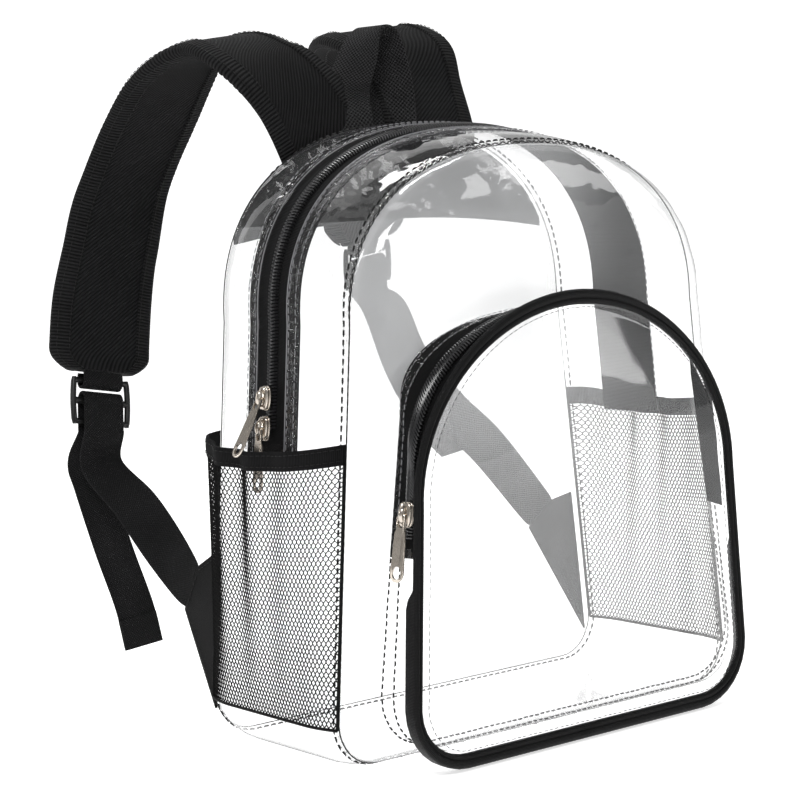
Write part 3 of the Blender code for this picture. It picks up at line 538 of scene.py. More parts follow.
def smooth_route(points, steps):
    """Catmull-Rom curve through the points, with the given steps between each pair."""
    ends = [points[0] * 2 - points[1], *points, points[-1] * 2 - points[-2]]
    route = []
    for a, b, c, d in zip(ends, ends[1:], ends[2:], ends[3:]):
        for i in range(steps):
            t = i / steps
            route.append((b * 2 + (c - a) * t + (a * 2 - b * 5 + c * 4 - d) * t * t
                          + (b * 3 - a - c * 3 + d) * t ** 3) / 2)
    return route + [points[-1]]


def measured(path):
    """Running length at each point of a path."""
    runs = [0.0]
    for a, b in zip(path, path[1:]):
        runs.append(runs[-1] + (b - a).length)
    return runs


def found(runs, distance):
    """The point before a running length, and the share of the step after it."""
    low = min(max(bisect.bisect_right(runs, distance) - 1, 0), len(runs) - 2)
    return low, (distance - runs[low]) / max(runs[low + 1] - runs[low], 1e-9)


def along(path, runs, distance):
    """The point of a path at a running length."""
    low, share = found(runs, min(max(distance, 0.0), runs[-1]))
    return path[low].lerp(path[low + 1], share)


def squared(direction, line):
    """A direction turned square to a line."""
    return (direction - line * direction.dot(line)).normalized()


def clamped(value):
    return min(max(value, 0.0), 1.0)


def ring_about(point, direction, out, width, height, count):
    """An oval ring square to direction; out is the way its height points."""
    across = direction.cross(out).normalized()
    up = across.cross(direction).normalized()
    return [point + across * (math.cos(2 * math.pi * i / count) * width / 2)
            + up * (math.sin(2 * math.pi * i / count) * height / 2) for i in range(count)]


def stitches(pieces, path, lift, stitch):
    """A row of stitches laid along a path; lift is the way out of the cloth."""
    length, space, thread = stitch
    runs = measured(path)
    place = space
    while place + length < runs[-1]:
        start, end = along(path, runs, place), along(path, runs, place + length)
        direction = (end - start).normalized()
        side = direction.cross(lift).normalized() * thread * STITCH_JITTER * random.uniform(-1, 1)
        rings = []
        for share, size, rise in STITCH_SHAPE:
            middle = start.lerp(end, share) + side + lift.normalized() * thread * rise
            rings.append(ring_about(middle, direction, lift, thread * size, thread * size, 5))
        pieces.tube(rings)
        place += length + space


def cord_tube(pieces, path, size, count=6, closed=False):
    last = len(path) - 1
    rings = []
    for i, point in enumerate(path):
        before = path[i - 1] if closed or i else path[0]
        after = path[(i + 1) % (last + 1)] if closed else path[min(i + 1, last)]
        direction = (after - before).normalized()
        out = UP if abs(direction.z) < 0.9 else -FORWARDS
        rings.append(ring_about(point, direction, out, size, size, count))
    pieces.tube(rings, closed)


def wobble(point, scale, amount):
    """A small smooth offset that depends on the place."""
    return noise.noise(point * scale) * amount


def spread(low, high, steps):
    return [low + (high - low) * i / steps for i in range(steps + 1)]


def outwards_at(point):
    """The way out of the shell, square to its arch."""
    return Vector((point.x, 0, point.z - SPRING_HEIGHT * 0.6)).normalized()


# Outlines and walls, as in the part but finer

def arch_outline(half, spring_half, foot, spring, top, power, corner, zip_end):
    """Points (x, z) from the middle of the foot, up the right side, over and down the left."""
    points = [((half - corner) * i / FOOT_STEPS, foot) for i in range(FOOT_STEPS + 1)]
    for i in range(1, CORNER_STEPS + 1):
        turn = math.pi / 2 * i / CORNER_STEPS
        points.append((half - corner + corner * math.sin(turn), foot + corner - corner * math.cos(turn)))
    low = foot + corner
    levels = [low + (zip_end - low) * i / LOW_STEPS for i in range(1, LOW_STEPS + 1)]
    levels += [zip_end + (spring - zip_end) * i / HIGH_STEPS for i in range(1, HIGH_STEPS)]
    for level in levels:
        points.append((half + (spring_half - half) * (level - low) / (spring - low), level))
    for i in range(ARCH_STEPS + 1):
        turn = math.pi / 2 * i / ARCH_STEPS
        points.append((spring_half * math.cos(turn) ** (2 / power) if i < ARCH_STEPS else 0.0,
                       spring + (top - spring) * math.sin(turn) ** (2 / power)))
    return points + [(-x, z) for x, z in reversed(points[1:-1])]


def outline_normals(points):
    """The way out of a closed outline at each of its points."""
    normals = []
    for i, _ in enumerate(points):
        before, after = points[i - 1], points[(i + 1) % len(points)]
        line = Vector((after[0] - before[0], after[1] - before[1])).normalized()
        normals.append((line.y, -line.x))
    return normals


def grown(points, amount):
    return [(x + nx * amount, z + nz * amount)
            for (x, z), (nx, nz) in zip(points, outline_normals(points))]


ZIP_START = FOOT_STEPS + CORNER_STEPS + LOW_STEPS
COUNT = 2 * (FOOT_STEPS + CORNER_STEPS + LOW_STEPS + HIGH_STEPS - 1 + ARCH_STEPS + 1)
ZIP_STOP = COUNT - ZIP_START
FLAT_DEPTH = GUSSET_FLAT * SEAM


def crown(depth):
    """How far the gusset swells at a depth: flat in the middle, easing down to the seams."""
    past = max(0.0, abs(depth) - FLAT_DEPTH) / (SEAM - FLAT_DEPTH)
    return GUSSET_CROWN * (1 - past ** 2)


@functools.lru_cache(maxsize=None)
def body_outline(depth, lift=0.0):
    """The gusset's middle surface at a depth, moved outwards by lift."""
    top = FRONT_TOP + (BACK_TOP - FRONT_TOP) * (depth + SEAM) / (2 * SEAM)
    points = arch_outline(FOOT_HALF_WIDTH, SPRING_HALF_WIDTH, GUSSET_CROWN, SPRING_HEIGHT, top,
                          ARCH_POWER, FOOT_CORNER, ZIP_END_HEIGHT)
    return grown(points, crown(depth) - FILM / 2 + lift)


def body_path(depth, first, last, lift=0.0):
    """A stretch of the gusset's outline at a depth."""
    outline = body_outline(depth, lift)
    return [Vector((outline[i % COUNT][0], depth, outline[i % COUNT][1])) for i in range(first, last + 1)]


@functools.lru_cache(maxsize=None)
def pocket_outline(share):
    """Outline of the pocket's gusset, ruled from its back seam at 0 to its face at 1."""
    seam = arch_outline(POCKET_BACK_HALF, POCKET_BACK_SPRING_HALF, POCKET_BACK_FOOT, POCKET_BACK_SPRING,
                        POCKET_BACK_TOP, POCKET_BACK_POWER, POCKET_CORNER, POCKET_ZIP_END_HEIGHT)
    face = arch_outline(POCKET_FACE_HALF, POCKET_FACE_SPRING_HALF, POCKET_FACE_FOOT, POCKET_FACE_SPRING,
                        POCKET_FACE_TOP, POCKET_FACE_POWER, POCKET_CORNER, POCKET_ZIP_END_HEIGHT)
    return [(bx + (fx - bx) * share, bz + (fz - bz) * share) for (bx, bz), (fx, fz) in zip(seam, face)]


POCKET_BACK_PLANE = -SEAM - GAP - FILM - FRONT_BULGE - GAP
POCKET_FACE_PLANE = POCKET_BACK_PLANE - POCKET_DEPTH
POCKET_EDGE = 1 - (PIPING_THICKNESS / 2 + GAP) / POCKET_DEPTH
POCKET_ZIP_MIDDLE = (POCKET_ZIP_SHARE + POCKET_EDGE) / 2


def pocket_point(index, share, lift=0.0):
    """A point of the pocket's gusset, lifted square to its slanted wall."""
    i = index % COUNT
    outline = pocket_outline(share)
    nx, nz = outline_normals_of(share)[i]
    (bx, bz), (fx, fz) = pocket_outline(0.0)[i], pocket_outline(1.0)[i]
    out = Vector((nx, (nx * (fx - bx) + nz * (fz - bz)) / POCKET_DEPTH, nz)).normalized()
    x, z = outline[i]
    return Vector((x, POCKET_BACK_PLANE - POCKET_DEPTH * share, z)) + out * lift


@functools.lru_cache(maxsize=None)
def outline_normals_of(share):
    return outline_normals(pocket_outline(share))


def pocket_path(share, first, last, lift=0.0):
    return [pocket_point(i, share, lift) for i in range(first, last + 1)]


def side_x(depth, height):
    """Half width of the gusset's middle surface at a depth and a height on the straight side."""
    foot = FOOT_CORNER + GUSSET_CROWN
    share = (height - foot) / (SPRING_HEIGHT - foot)
    return FOOT_HALF_WIDTH + (SPRING_HALF_WIDTH - FOOT_HALF_WIDTH) * share + crown(depth) - FILM / 2


# Clear shell

def front_film():
    """The front panel: rounded at its edge, with a slight pucker beside the seam."""
    outline = body_outline(-SEAM)
    middle = SPRING_HEIGHT * FRONT_MIDDLE
    base = -SEAM - GAP - FILM / 2
    shares = [FRONT_ROUND * part ** 1.6 for part in spread(0.0, 1.0, 9)] + spread(0.14, 0.94, 9)
    rows = []
    for share in shares:
        rise = 1 - min(share / FRONT_ROUND, 1.0)
        out = FRONT_BULGE * math.sqrt(1 - rise * rise)
        row = []
        for x, z in outline:
            point = Vector((x * (1 - share), base - out, middle + (z - middle) * (1 - share)))
            near = math.exp(-(share / 0.07) ** 2) * min(1.0, share * 60)
            point.y += wobble(point, 75.0, 0.0011) * near
            row.append(point)
        rows.append(row)
    hub = (0.0, base - FRONT_BULGE, middle)
    Pieces().grid(rows, wrap=True, hub=hub).make("front_film", "front film", "clear_film", "front_panel")


def gusset_film(name, first, last, low, high, steps, node):
    rows = []
    for depth in spread(low, high, steps):
        row = []
        for point in body_path(depth, first, last):
            near = max(0.0, 1 - (SEAM - abs(depth)) / 0.012)
            row.append(point - outwards_at(point) * abs(wobble(point, 60.0, 0.0005)) * near)
        rows.append(row)
    Pieces().grid(rows).make(name, "side film", "clear_film", node)


def back_film():
    """The back panel: hazy below the yoke and whitened up high by painted light, clear where the yoke lies on
    it.
    """
    outline = body_outline(SEAM)
    plane = SEAM + GAP + FILM / 2
    foot = BACK_TOP - YOKE_DROP
    for name, keep, look, nodes in (("back_film", min, "back film", ["back_panel"]),
                                    ("back_film_top", max, "side film", [])):
        rows = []
        for i in range(COUNT // 2 + 1):
            (right_x, right_z), (left_x, _) = outline[i], outline[-i]
            rows.append([Vector((x, plane, keep(right_z, foot))) for x in spread(left_x, right_x, 12)])
        Pieces().grid(rows).make(name, look, "clear_film", *nodes)


def clear_shell():
    """All the film of the bag's body, with its seams."""
    front_film()
    gusset_film("lower_film", ZIP_STOP - COUNT, ZIP_START, -SEAM, SEAM, 22, "lower_gusset")
    gusset_film("strip_film_front", ZIP_START, ZIP_STOP, -SEAM, ZIP_CENTRE - ZIP_OPEN / 2, 12,
                "gusset_front_strip")
    gusset_film("strip_film_back", ZIP_START, ZIP_STOP, ZIP_CENTRE + ZIP_OPEN / 2, SEAM, 12,
                "gusset_back_strip")
    back_film()
    seams = Pieces()
    front_row = body_path(-SEAM + SEAM_INSET, 0, COUNT, THREAD_LIFT)
    back_row = body_path(SEAM - SEAM_INSET, 0, COUNT, THREAD_LIFT)
    for row, side in ((front_row, 1), (back_row, -1)):
        hidden = [i for i, point in enumerate(row)
                  if side * point.x > HIDDEN_BEYOND and point.z > HIDDEN_ABOVE]
        for seen in (row[:hidden[0] + 1], row[hidden[-1]:]):
            stitches(seams, seen, UP, SHELL_STITCH)
    seams.make("shell_stitches", "thread", "black_cloth")
    welts = Pieces()
    for depth in (-SEAM - GAP, SEAM + GAP):
        cord_tube(welts, body_path(depth, 0, COUNT - 1, 0.0002), WELT, closed=True)
    welts.make("shell_welts", "side film", "clear_film")
    gathered_seam()


def puckered(point):
    """How far the seam gathers at a point: fully on the left and over the arch, hardly on the right."""
    return 1.0 - 0.95 * clamped((point.x - CALM_FROM) / CALM_EASE)


def gathered_seam():
    """The front seam's two layers, twisted and puckered over the arch and flat on the sides."""
    path = body_path(-SEAM - GAP, 0, COUNT, SEAM_EDGE)
    runs = measured(path)
    arch_start, arch_stop = runs[ZIP_START + HIGH_STEPS - 1], runs[ZIP_STOP - HIGH_STEPS]
    steps = int(runs[-1] / SEAM_STEP)
    strands = Pieces()
    for strand in (0, 1):
        middle = []
        for i in range(steps + 1):
            distance = runs[-1] * i / steps
            point = along(path, runs, distance)
            into = min(distance - arch_start, arch_stop - distance)
            pucker = min(max(into / 0.02, 0.12), 1.0) * (0.7 + 0.6 * abs(wobble(point, 40.0, 1.0)))
            turn = math.pi * (strand + 2 * distance / SEAM_TWIST) + wobble(point, 90.0, 2.0)
            arm = outwards_at(point) * math.cos(turn) + FORWARDS * math.sin(turn)
            middle.append(point + arm * SEAM_TWIST_RADIUS * (pucker * puckered(point)))
        cord_tube(strands, middle, SEAM_STRAND, 5)
    strands.make("front_seam_strands", "thread", "black_cloth")
    folds = Pieces()
    for side, reach in ((-1, FOLD_REACH_ON_FACE), (1, FOLD_REACH_ON_GUSSET)):
        rows = []
        for share in spread(0.0, 1.0, 4):
            row = []
            for i in range(steps + 1):
                point = along(path, runs, runs[-1] * i / steps)
                outwards = outwards_at(point)
                pucker = abs(wobble(point, 260.0, FOLD_PUCKER))
                lift = FOLD_LIFT + pucker * math.sin(math.pi * min(share + 0.15, 1.0))
                if side < 0:
                    shift = FORWARDS * lift - outwards * reach * share
                else:
                    shift = FORWARDS * -reach * share + outwards * lift
                row.append(point + shift * puckered(point))
            rows.append(row)
        folds.grid(rows)
    folds.make("front_seam_folds", "fold film", "clear_film")
    edge = Pieces()
    cord_tube(edge, body_path(SEAM + GAP, 0, COUNT - 1, SEAM_EDGE), SEAM_EDGE, 5, closed=True)
    edge.make("back_seam_edge", "thread", "black_cloth")


# Zips

def coil(pieces, point, first, last, width, height, lift):
    """Interlocked nylon teeth; point(index, across, up) gives places on the zip."""
    middle = [point(i, 0.0, 0.0) for i in range(first, last + 1)]
    runs = measured(middle)
    teeth = int(runs[-1] / COIL_PITCH * 2)
    for tooth in range(teeth):
        side = 1 if tooth % 2 else -1
        distance = (tooth + 0.5) * COIL_PITCH / 2
        share = sum(found(runs, distance))
        step = COIL_PITCH * 0.55 / max(runs[-1] / (last - first), 1e-6)
        rings = []
        for across, up, ahead in COIL_TOOTH:
            index = first + share + ahead * step
            here = between(point, index, across * side * width, lift + up * height)
            there = between(point, index + 0.1, across * side * width, lift + up * height)
            out = between(point, index, across * side * width, lift + up * height + 0.001) - here
            direction = (between(point, index, (across - 0.2) * side * width, lift + up * height) - here
                         + (there - here) * 0.4).normalized()
            rings.append(ring_about(here, direction, out, COIL_PITCH * 0.62, COIL_PITCH * 0.55, 6))
        pieces.tube(rings)


def between(point, index, across, up):
    """A place between two outline points."""
    low = int(math.floor(index))
    return point(low, across, up).lerp(point(low + 1, across, up), index - low)


def main_zip():
    """Tape, coil and the clear hems sewn over the tape's edges."""
    tape = Pieces()
    half = ZIP_TAPE_WIDTH / 2
    depths = spread(ZIP_CENTRE - half, ZIP_CENTRE + half, 10)
    tape.grid([body_path(depth, ZIP_START - 1, ZIP_STOP + 1, -TAPE_SINK) for depth in depths])
    tape.make("main_tape", "tape", "zip_tape", "main_zip_tape")
    teeth = Pieces()

    @functools.lru_cache(maxsize=None)
    def rings_at(across, up):
        return body_outline(ZIP_CENTRE + across, up)

    def point(index, across, up):
        x, z = rings_at(round(across, 6), round(up, 6))[index % COUNT]
        return Vector((x, ZIP_CENTRE + across, z))

    coil(teeth, point, ZIP_START, ZIP_STOP - 1, COIL_WIDTH, COIL_HEIGHT, -0.0002)
    teeth.make("main_coil", "coil", "zip_tape", "main_zip_coil")
    hems, rows, edges = Pieces(), Pieces(), Pieces()
    for side in (-1, 1):
        edge = ZIP_CENTRE + side * ZIP_OPEN / 2
        outer = ZIP_CENTRE + side * half
        hems.grid([body_path(edge + (outer - edge) * share, ZIP_START - 1, ZIP_STOP + 1, lift)
                   for share, lift in HEM_SECTION])
        for inset in ZIP_ROW_INSETS:
            path = body_path(edge + side * inset, ZIP_START - 1, ZIP_STOP + 1, ZIP_ROW_LIFT)
            stitches(rows, path, UP, ZIP_STITCH)
        # The film's cut edges, drawn as light grey cords: a painted highlight where the clear edge catches
        # the light
        cord_tube(edges, body_path(edge, ZIP_START - 1, ZIP_STOP + 1, 0.0010), 0.0006, 5)
    hems.make("main_zip_hems", "hem film", "clear_film")
    rows.make("main_zip_stitches", "clear thread", "black_cloth")
    edges.make("main_zip_film_edges", "clear thread", "clear_film")


# Front pocket

def front_pocket():
    """The pocket's walls, its zip, face and stitched seams."""
    start = GAP / POCKET_DEPTH
    for name, look, slot, node, first, last, shares, lift in (
            ("pocket_side_film", "side film", "clear_film", "pocket_lower_gusset",
             ZIP_STOP - COUNT, ZIP_START, spread(start, POCKET_EDGE, 6), 0.0),
            ("pocket_arch_film", "hem film", "clear_film", "pocket_arch_strip",
             ZIP_START, ZIP_STOP, spread(start, POCKET_ZIP_SHARE, 3), 0.0),
            ("pocket_tape", "tape", "zip_tape", "pocket_zip_tape",
             ZIP_START - 1, ZIP_STOP + 1, spread(start * 2, POCKET_EDGE, 8), -0.0003)):
        sheet = Pieces().grid([pocket_path(share, first, last, lift) for share in shares])
        sheet.make(name, look, slot, node)
    teeth = Pieces()

    def point(index, across, up):
        return pocket_point(index, round(POCKET_ZIP_MIDDLE + across / POCKET_DEPTH, 4), up)

    coil(teeth, point, ZIP_START, ZIP_STOP - 1, POCKET_COIL_WIDTH, COIL_HEIGHT, 0.0004)
    teeth.make("pocket_coil", "coil", "zip_tape", "pocket_zip_coil")
    face_film()
    piping()
    hems, rows = Pieces(), Pieces()
    for share in POCKET_HEM_ROWS:
        stitches(hems, pocket_path(share, ZIP_START, ZIP_STOP, THREAD_LIFT), FORWARDS, HEM_STITCH)
    hems.make("pocket_hem_stitches", "clear thread", "black_cloth")
    for share in POCKET_SEAM_ROWS:
        path = pocket_path(share, ZIP_STOP - COUNT, ZIP_START, THREAD_LIFT)
        stitches(rows, path, FORWARDS, POCKET_STITCH)
    outline = grown(pocket_outline(1.0), -FACE_STITCH_INSET)
    path = [Vector((x, POCKET_FACE_PLANE - THREAD_LIFT, z)) for x, z in outline]
    stitches(rows, path + path[:1], FORWARDS, FACE_STITCH)
    rows.make("pocket_stitches", "thread", "black_cloth")


def face_film():
    """The pocket's swollen face, from inside the piping."""
    outline = [(x + nx * (PIPING_TUCK * nx * nx + GAP), z + nz * GAP)
               for (x, z), (nx, nz) in zip(pocket_outline(1.0), outline_normals_of(1.0))]
    middle = (POCKET_FACE_FOOT + POCKET_FACE_TOP) / 2
    rows = []
    for share in (0.0, 0.02, 0.05, 0.09, 0.14, 0.21, 0.3, 0.42, 0.55, 0.7, 0.85, 0.95):
        out = POCKET_SWELL * (1 - (1 - share) ** 3)
        rows.append([Vector((x * (1 - share), POCKET_FACE_PLANE - out, middle + (z - middle) * (1 - share)))
                     for x, z in outline])
    for row in rows[1:]:
        for point in row:
            point.y += wobble(point, 14.0, 0.0012)
    sheet = Pieces().grid(rows, wrap=True, hub=(0.0, POCKET_FACE_PLANE - POCKET_SWELL, middle))
    sheet.make("pocket_face_film", "pocket film", "clear_film", "pocket_face")


def piping():
    """Bound edge round the face: two soft ridges, and a flap laid back along the wall below the zip."""
    outline, normals = pocket_outline(1.0), outline_normals_of(1.0)
    rings = []
    for (x, z), (nx, nz) in zip(outline, normals):
        start = PIPING_TUCK * nx * nx
        flap = clamped((FLAP_TOP - z) / FLAP_EASE) * FLAP_DEPTH
        ring = []
        for out, deep in PIPING_SECTION:
            reach = start + out * (PIPING_WIDTH - start)
            back = flap if out > 0.8 and deep > 0.1 else 0.0
            ring.append(Vector((x + nx * reach, POCKET_FACE_PLANE + deep * PIPING_THICKNESS + back,
                                z + nz * reach)))
        rings.append(ring)
    edge = Pieces().tube(rings, closed=True)
    edge.make("pocket_binding", "piping", "piping", "pocket_piping", sharp=75)


# Net side pockets

def net_point(side, across, up, out=0.0):
    """A place on a side pocket: across runs from front -1 to back 1, up from 0 to 1."""
    half = SEAM - NET_SEAM_MARGIN
    sag = NET_SAG * (1 - across ** 2) * up
    height = NET_FOOT_HEIGHT + (NET_TOP_HEIGHT - NET_FOOT_HEIGHT) * up - sag
    swell = max(0.0, 1 - across ** 2) ** NET_ACROSS_POWER * (1 + NET_LEAN * across)
    stand = NET_BULGE * swell * up ** NET_RISE_POWER
    crease = NET_CREASE * up * math.sin(across * 13 + up * 2) * (1 - across ** 2) * (1 + across) / 2
    base = side_x(across * half, height) + FILM / 2 + GAP + 0.0005 + out
    return Vector((side * (base + stand + crease), across * half, height))


def net_and_band(side, word):
    """Hexagonal net of knotted yarn under a bound elastic band."""
    height = NET_TOP_HEIGHT - NET_FOOT_HEIGHT
    band = NET_BAND_HEIGHT / height
    columns = int(2 * SEAM / NET_PITCH)
    rows = int(height * (1 - band) / (NET_PITCH * 0.87))
    net = Pieces()

    def knot(row, column, part):
        """Ends of a cell's upright side, low at part 0 and high at part 1."""
        shift = 0.5 if row % 2 else 0.0
        across = -1 + 2 * (column + shift) / columns
        up = (row + (0.0 if part == 0 else 0.33)) / (rows - 0.67) * (1 - band)
        return net_point(side, max(-1.0, min(1.0, across)), min(up, 1 - band))

    strands = []
    for row in range(rows):
        for column in range(columns + 1):
            low, high = knot(row, column, 0), knot(row, column, 1)
            strands.append((low, high))
            if row + 1 < rows:
                offset = 0 if row % 2 == 0 else 1
                strands.append((high, knot(row + 1, column - 1 + offset, 0)))
                strands.append((high, knot(row + 1, column + offset, 0)))
    out = Vector((side, 0, 0))
    for low, high in strands:
        if (high - low).length < 1e-5:
            continue
        direction = (high - low).normalized()
        rings = [ring_about(low.lerp(high, t), direction, out, NET_THREAD * w, NET_THREAD * w, 4)
                 for t, w in NET_STRAND]
        net.tube(rings)
    net.make("net_" + word, "net", "black_net", "net_pocket_" + word)
    lows = spread(1 - band, 1.0, 5)
    rings = []
    for a in spread(-1, 1, 40):
        outer = [net_point(side, a, up, 0.0010 + 0.0004 * math.sin(math.pi * i / 5))
                 for i, up in enumerate(lows)]
        rings.append(outer + [net_point(side, a, up, -0.0002) for up in reversed(lows)])
    Pieces().tube(rings).make("band_" + word, "elastic", "black_cloth", "net_band_" + word, sharp=60)
    hem = Pieces()
    for share in BAND_ROWS:
        path = [net_point(side, a, 1 - band + band * share, BAND_ROW_LIFT) for a in spread(-1, 1, 60)]
        stitches(hem, path, out, BAND_STITCH)
    edge = Pieces()
    for across in (-1, 1):
        path = [net_point(side, across, up, NET_EDGE_LIFT) for up in spread(0, 1 - band, 30)]
        cord_tube(edge, path, NET_EDGE)
    cord_tube(edge, [net_point(side, a, 0.0, NET_EDGE_LIFT) for a in spread(-1, 1, 30)], NET_EDGE)
    edge.make("net_edge_" + word, "net", "black_net")
    hem.make("band_stitches_" + word, "thread", "black_cloth")


# Sliders and pulls

def frame_matrix(origin, across, up, out):
    matrix = Matrix((across, up, out)).transposed().to_4x4()
    matrix.translation = origin
    return matrix


def gusset_frame(height):
    """Frame on the left of the gusset: x across, y up the zip, z outwards."""
    def surface(level):
        return Vector((-side_x(ZIP_CENTRE, level), ZIP_CENTRE, level))
    up = (surface(height + 0.01) - surface(height - 0.01)).normalized()
    return frame_matrix(surface(height), FORWARDS, up, FORWARDS.cross(up))


def outline_side(points, level, depth):
    left = points[len(points) // 2:]
    for high, low in zip(left, left[1:]):
        if low[1] <= level <= high[1]:
            share = (high[1] - level) / (high[1] - low[1])
            return Vector((high[0] + (low[0] - high[0]) * share, depth, level))
    return Vector((left[-1][0], depth, level))


def pocket_frame(height):
    share = POCKET_ZIP_MIDDLE

    def surface(level, at):
        return outline_side(pocket_outline(at), level, POCKET_BACK_PLANE - POCKET_DEPTH * at)

    up = (surface(height + 0.004, share) - surface(height - 0.004, share)).normalized()
    across = (surface(height, share + 0.1) - surface(height, share - 0.1)).normalized()
    out = across.cross(up).normalized()
    return frame_matrix(surface(height, share), up.cross(out), up, out)


def moved(place, rings):
    return [[place @ point for point in ring] for ring in rings]


def plate(pieces, place, outline, low, high, ease):
    """A flat plate with eased edges from an outline of (x, y)."""
    middle = Vector((sum(x for x, _ in outline) / len(outline), sum(y for _, y in outline) / len(outline), 0))
    rings = []
    for z, inset in ((low, ease), (low + ease, 0.0), (high - ease, 0.0), (high, ease)):
        ring = []
        for x, y in outline:
            flat = Vector((x, y, 0))
            inward = (middle - flat).normalized() * inset
            ring.append(place @ (flat + inward + Vector((0, 0, z))))
        rings.append(ring)
    pieces.tube(rings)


def rounder(value, power):
    """A power of a value that keeps its sign."""
    return math.copysign(abs(value) ** power, value)


def slider(name, place):
    """A cast slider: waisted body, two side flanges and a hooped bridge."""
    base = ZIP_TAPE / 2 + GAP * 2 + 0.0022
    top = base + SLIDER_BODY
    half, end = SLIDER_WIDTH / 2, SLIDER_LENGTH / 2
    outline = []
    for i in range(28):
        turn = 2 * math.pi * i / 28
        x, y = math.cos(turn), math.sin(turn)
        waist = 0.86 + 0.14 * (0.5 + 0.5 * y)
        outline.append((half * waist * rounder(x, 0.55), end * rounder(y, 0.7)))
    pieces = Pieces()
    plate(pieces, place, outline, base, base + SLIDER_BODY * 0.45, 0.0003)
    plate(pieces, place, [(x * 0.92, y * 0.95) for x, y in outline], base + SLIDER_BODY * 0.4, top, 0.0006)
    hoop = []
    for i in range(15):
        turn = math.pi * i / 14
        y = -math.cos(turn) * (BRIDGE_LENGTH / 2 - 0.0006)
        z = top - 0.0006 + math.sin(turn) ** 0.55 * BRIDGE_RISE
        hoop.append(Vector((0, y, z)))
    rings = []
    for i, at in enumerate(hoop):
        step = (hoop[min(i + 1, 14)] - hoop[max(i - 1, 0)]).normalized()
        rings.append(ring_about(at, step, RIGHT, 0.0011, BRIDGE_WIDTH, 8))
    pieces.tube(moved(place, rings))
    pieces.make(name + "_cast", "nickel", "nickel", name, sharp=50)


def pull(name, joint, place):
    """A stamped tab that rides on its joint's body, with an eye at its top and a ring at its foot."""
    pivot = Vector(joint["pos_m"])
    low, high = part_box(name)
    axis = place.to_3x3().col[0].normalized()
    down = squared((low + high) / 2 - pivot, axis)
    local = frame_matrix(pivot, axis, -down, axis.cross(-down))
    half = PULL_WIDTH / 2
    top, foot = 0.0007, 0.0007 - PULL_LENGTH
    # Places down the tab with their shares of its width, then its holes: top, bottom, radius
    widths = ((top, 0.30), (top - 0.0006, 0.52), (top - 0.0020, 0.64), (top - 0.0050, 0.66),
              (top - 0.0078, 0.62), (top - 0.0092, 0.80), (top - 0.0150, 0.88), (top - 0.0215, 0.92),
              (foot + 0.0088, 0.94), (foot + 0.0062, 1.0), (foot + 0.0038, 1.0), (foot + 0.0016, 0.80),
              (foot + 0.0005, 0.52), (foot, 0.22))
    outer = [(half * w, y) for y, w in widths] + [(-half * w, y) for y, w in reversed(widths)]
    eyes = ((top - 0.0013, top - 0.0070, 0.0017), (foot + 0.0076, foot + 0.0015, 0.0024))
    pieces = Pieces()
    plate(pieces, local, outer, -PULL_THICKNESS / 2, PULL_THICKNESS / 2, 0.00022)
    tab = pieces.make(name + "_tab", "nickel", "nickel", name, body=joint["child"], sharp=50)
    for high_y, low_y, radius in eyes:
        middle, reach = (high_y + low_y) / 2, (high_y - low_y) / 2
        turns = [2 * math.pi * i / 24 for i in range(24)]
        cut_through(tab, [(radius * math.cos(turn), middle + reach * rounder(math.sin(turn), 0.8))
                          for turn in turns], local)


def cut_through(tab, outline, local):
    """Cuts a hole of the outline through a tab and removes the cutter."""
    cutter = Pieces().tube([[local @ Vector((x, y, z)) for x, y in outline] for z in (-0.004, 0.004)])
    tool = linked("cutter", cutter.mesh("cutter"))
    step = tab.modifiers.new("eye", 'BOOLEAN')
    step.operation, step.solver, step.object = 'DIFFERENCE', 'EXACT', tool
    graph = bpy.context.evaluated_depsgraph_get()
    made = bpy.data.meshes.new_from_object(tab.evaluated_get(graph))
    tab.modifiers.clear()
    tab.data = made
    made.set_sharp_from_angle(angle=math.radians(50))
    bpy.data.objects.remove(tool)


def sliders_and_pulls():
    joints = {joint["child"]: joint for joint in frame["record"]["behaviour"]["joints"]}
    for word, height in (("upper", MAIN_SLIDER_HEIGHT), ("lower", MAIN_SLIDER_HEIGHT - LOWER_SLIDER_DROP)):
        place = gusset_frame(height)
        slider("main_slider_" + word, place)
        pull("main_pull_" + word, joints["pull_main_" + word], place)
    place = pocket_frame(POCKET_SLIDER_HEIGHT)
    slider("pocket_slider", place)
    pull("pocket_pull", joints["pull_pocket"], place)


# Straps, webbing and handle

LEFT_STRAP = (
    # across, back, up, turn_back, turn_up
    (-0.280, 0.310, 0.815, 0.00, 0.22),
    (-0.305, 0.312, 0.850, 0.00, 0.24),
    (-0.400, 0.345, 0.918, 0.12, 0.26),
    (-0.500, 0.427, 0.972, 0.17, 0.16),
    (-0.530, 0.572, 0.997, 0.15, 0.12),
    (-0.600, 0.706, 0.967, -0.10, 0.30),
    (-0.608, 0.873, 0.884, 0.02, 0.08),
    (-0.654, 0.978, 0.789, 0.08, 0.05),
    (-0.721, 0.996, 0.694, 0.06, 0.02),
    (-0.770, 1.000, 0.618, 0.00, 0.00),
    (-0.810, 0.985, 0.549, 0.00, 0.00),
    (-0.832, 0.968, 0.508, 0.00, 0.00),
)
RIGHT_STRAP = (
    (0.235, 0.310, 0.830, 0.00, -0.12),
    (0.240, 0.312, 0.872, 0.00, -0.10),
    (0.255, 0.378, 0.935, 0.00, 0.00),
    (0.262, 0.451, 0.986, -0.20, 0.08),
    (0.275, 0.615, 1.012, -0.25, 0.10),
    (0.440, 0.795, 0.983, -0.20, 0.05),
    (0.630, 0.974, 0.903, -0.10, 0.00),
    (0.770, 1.103, 0.820, 0.00, 0.00),
    (0.865, 1.179, 0.734, 0.00, 0.00),
    (0.893, 1.203, 0.683, 0.00, 0.00),
)
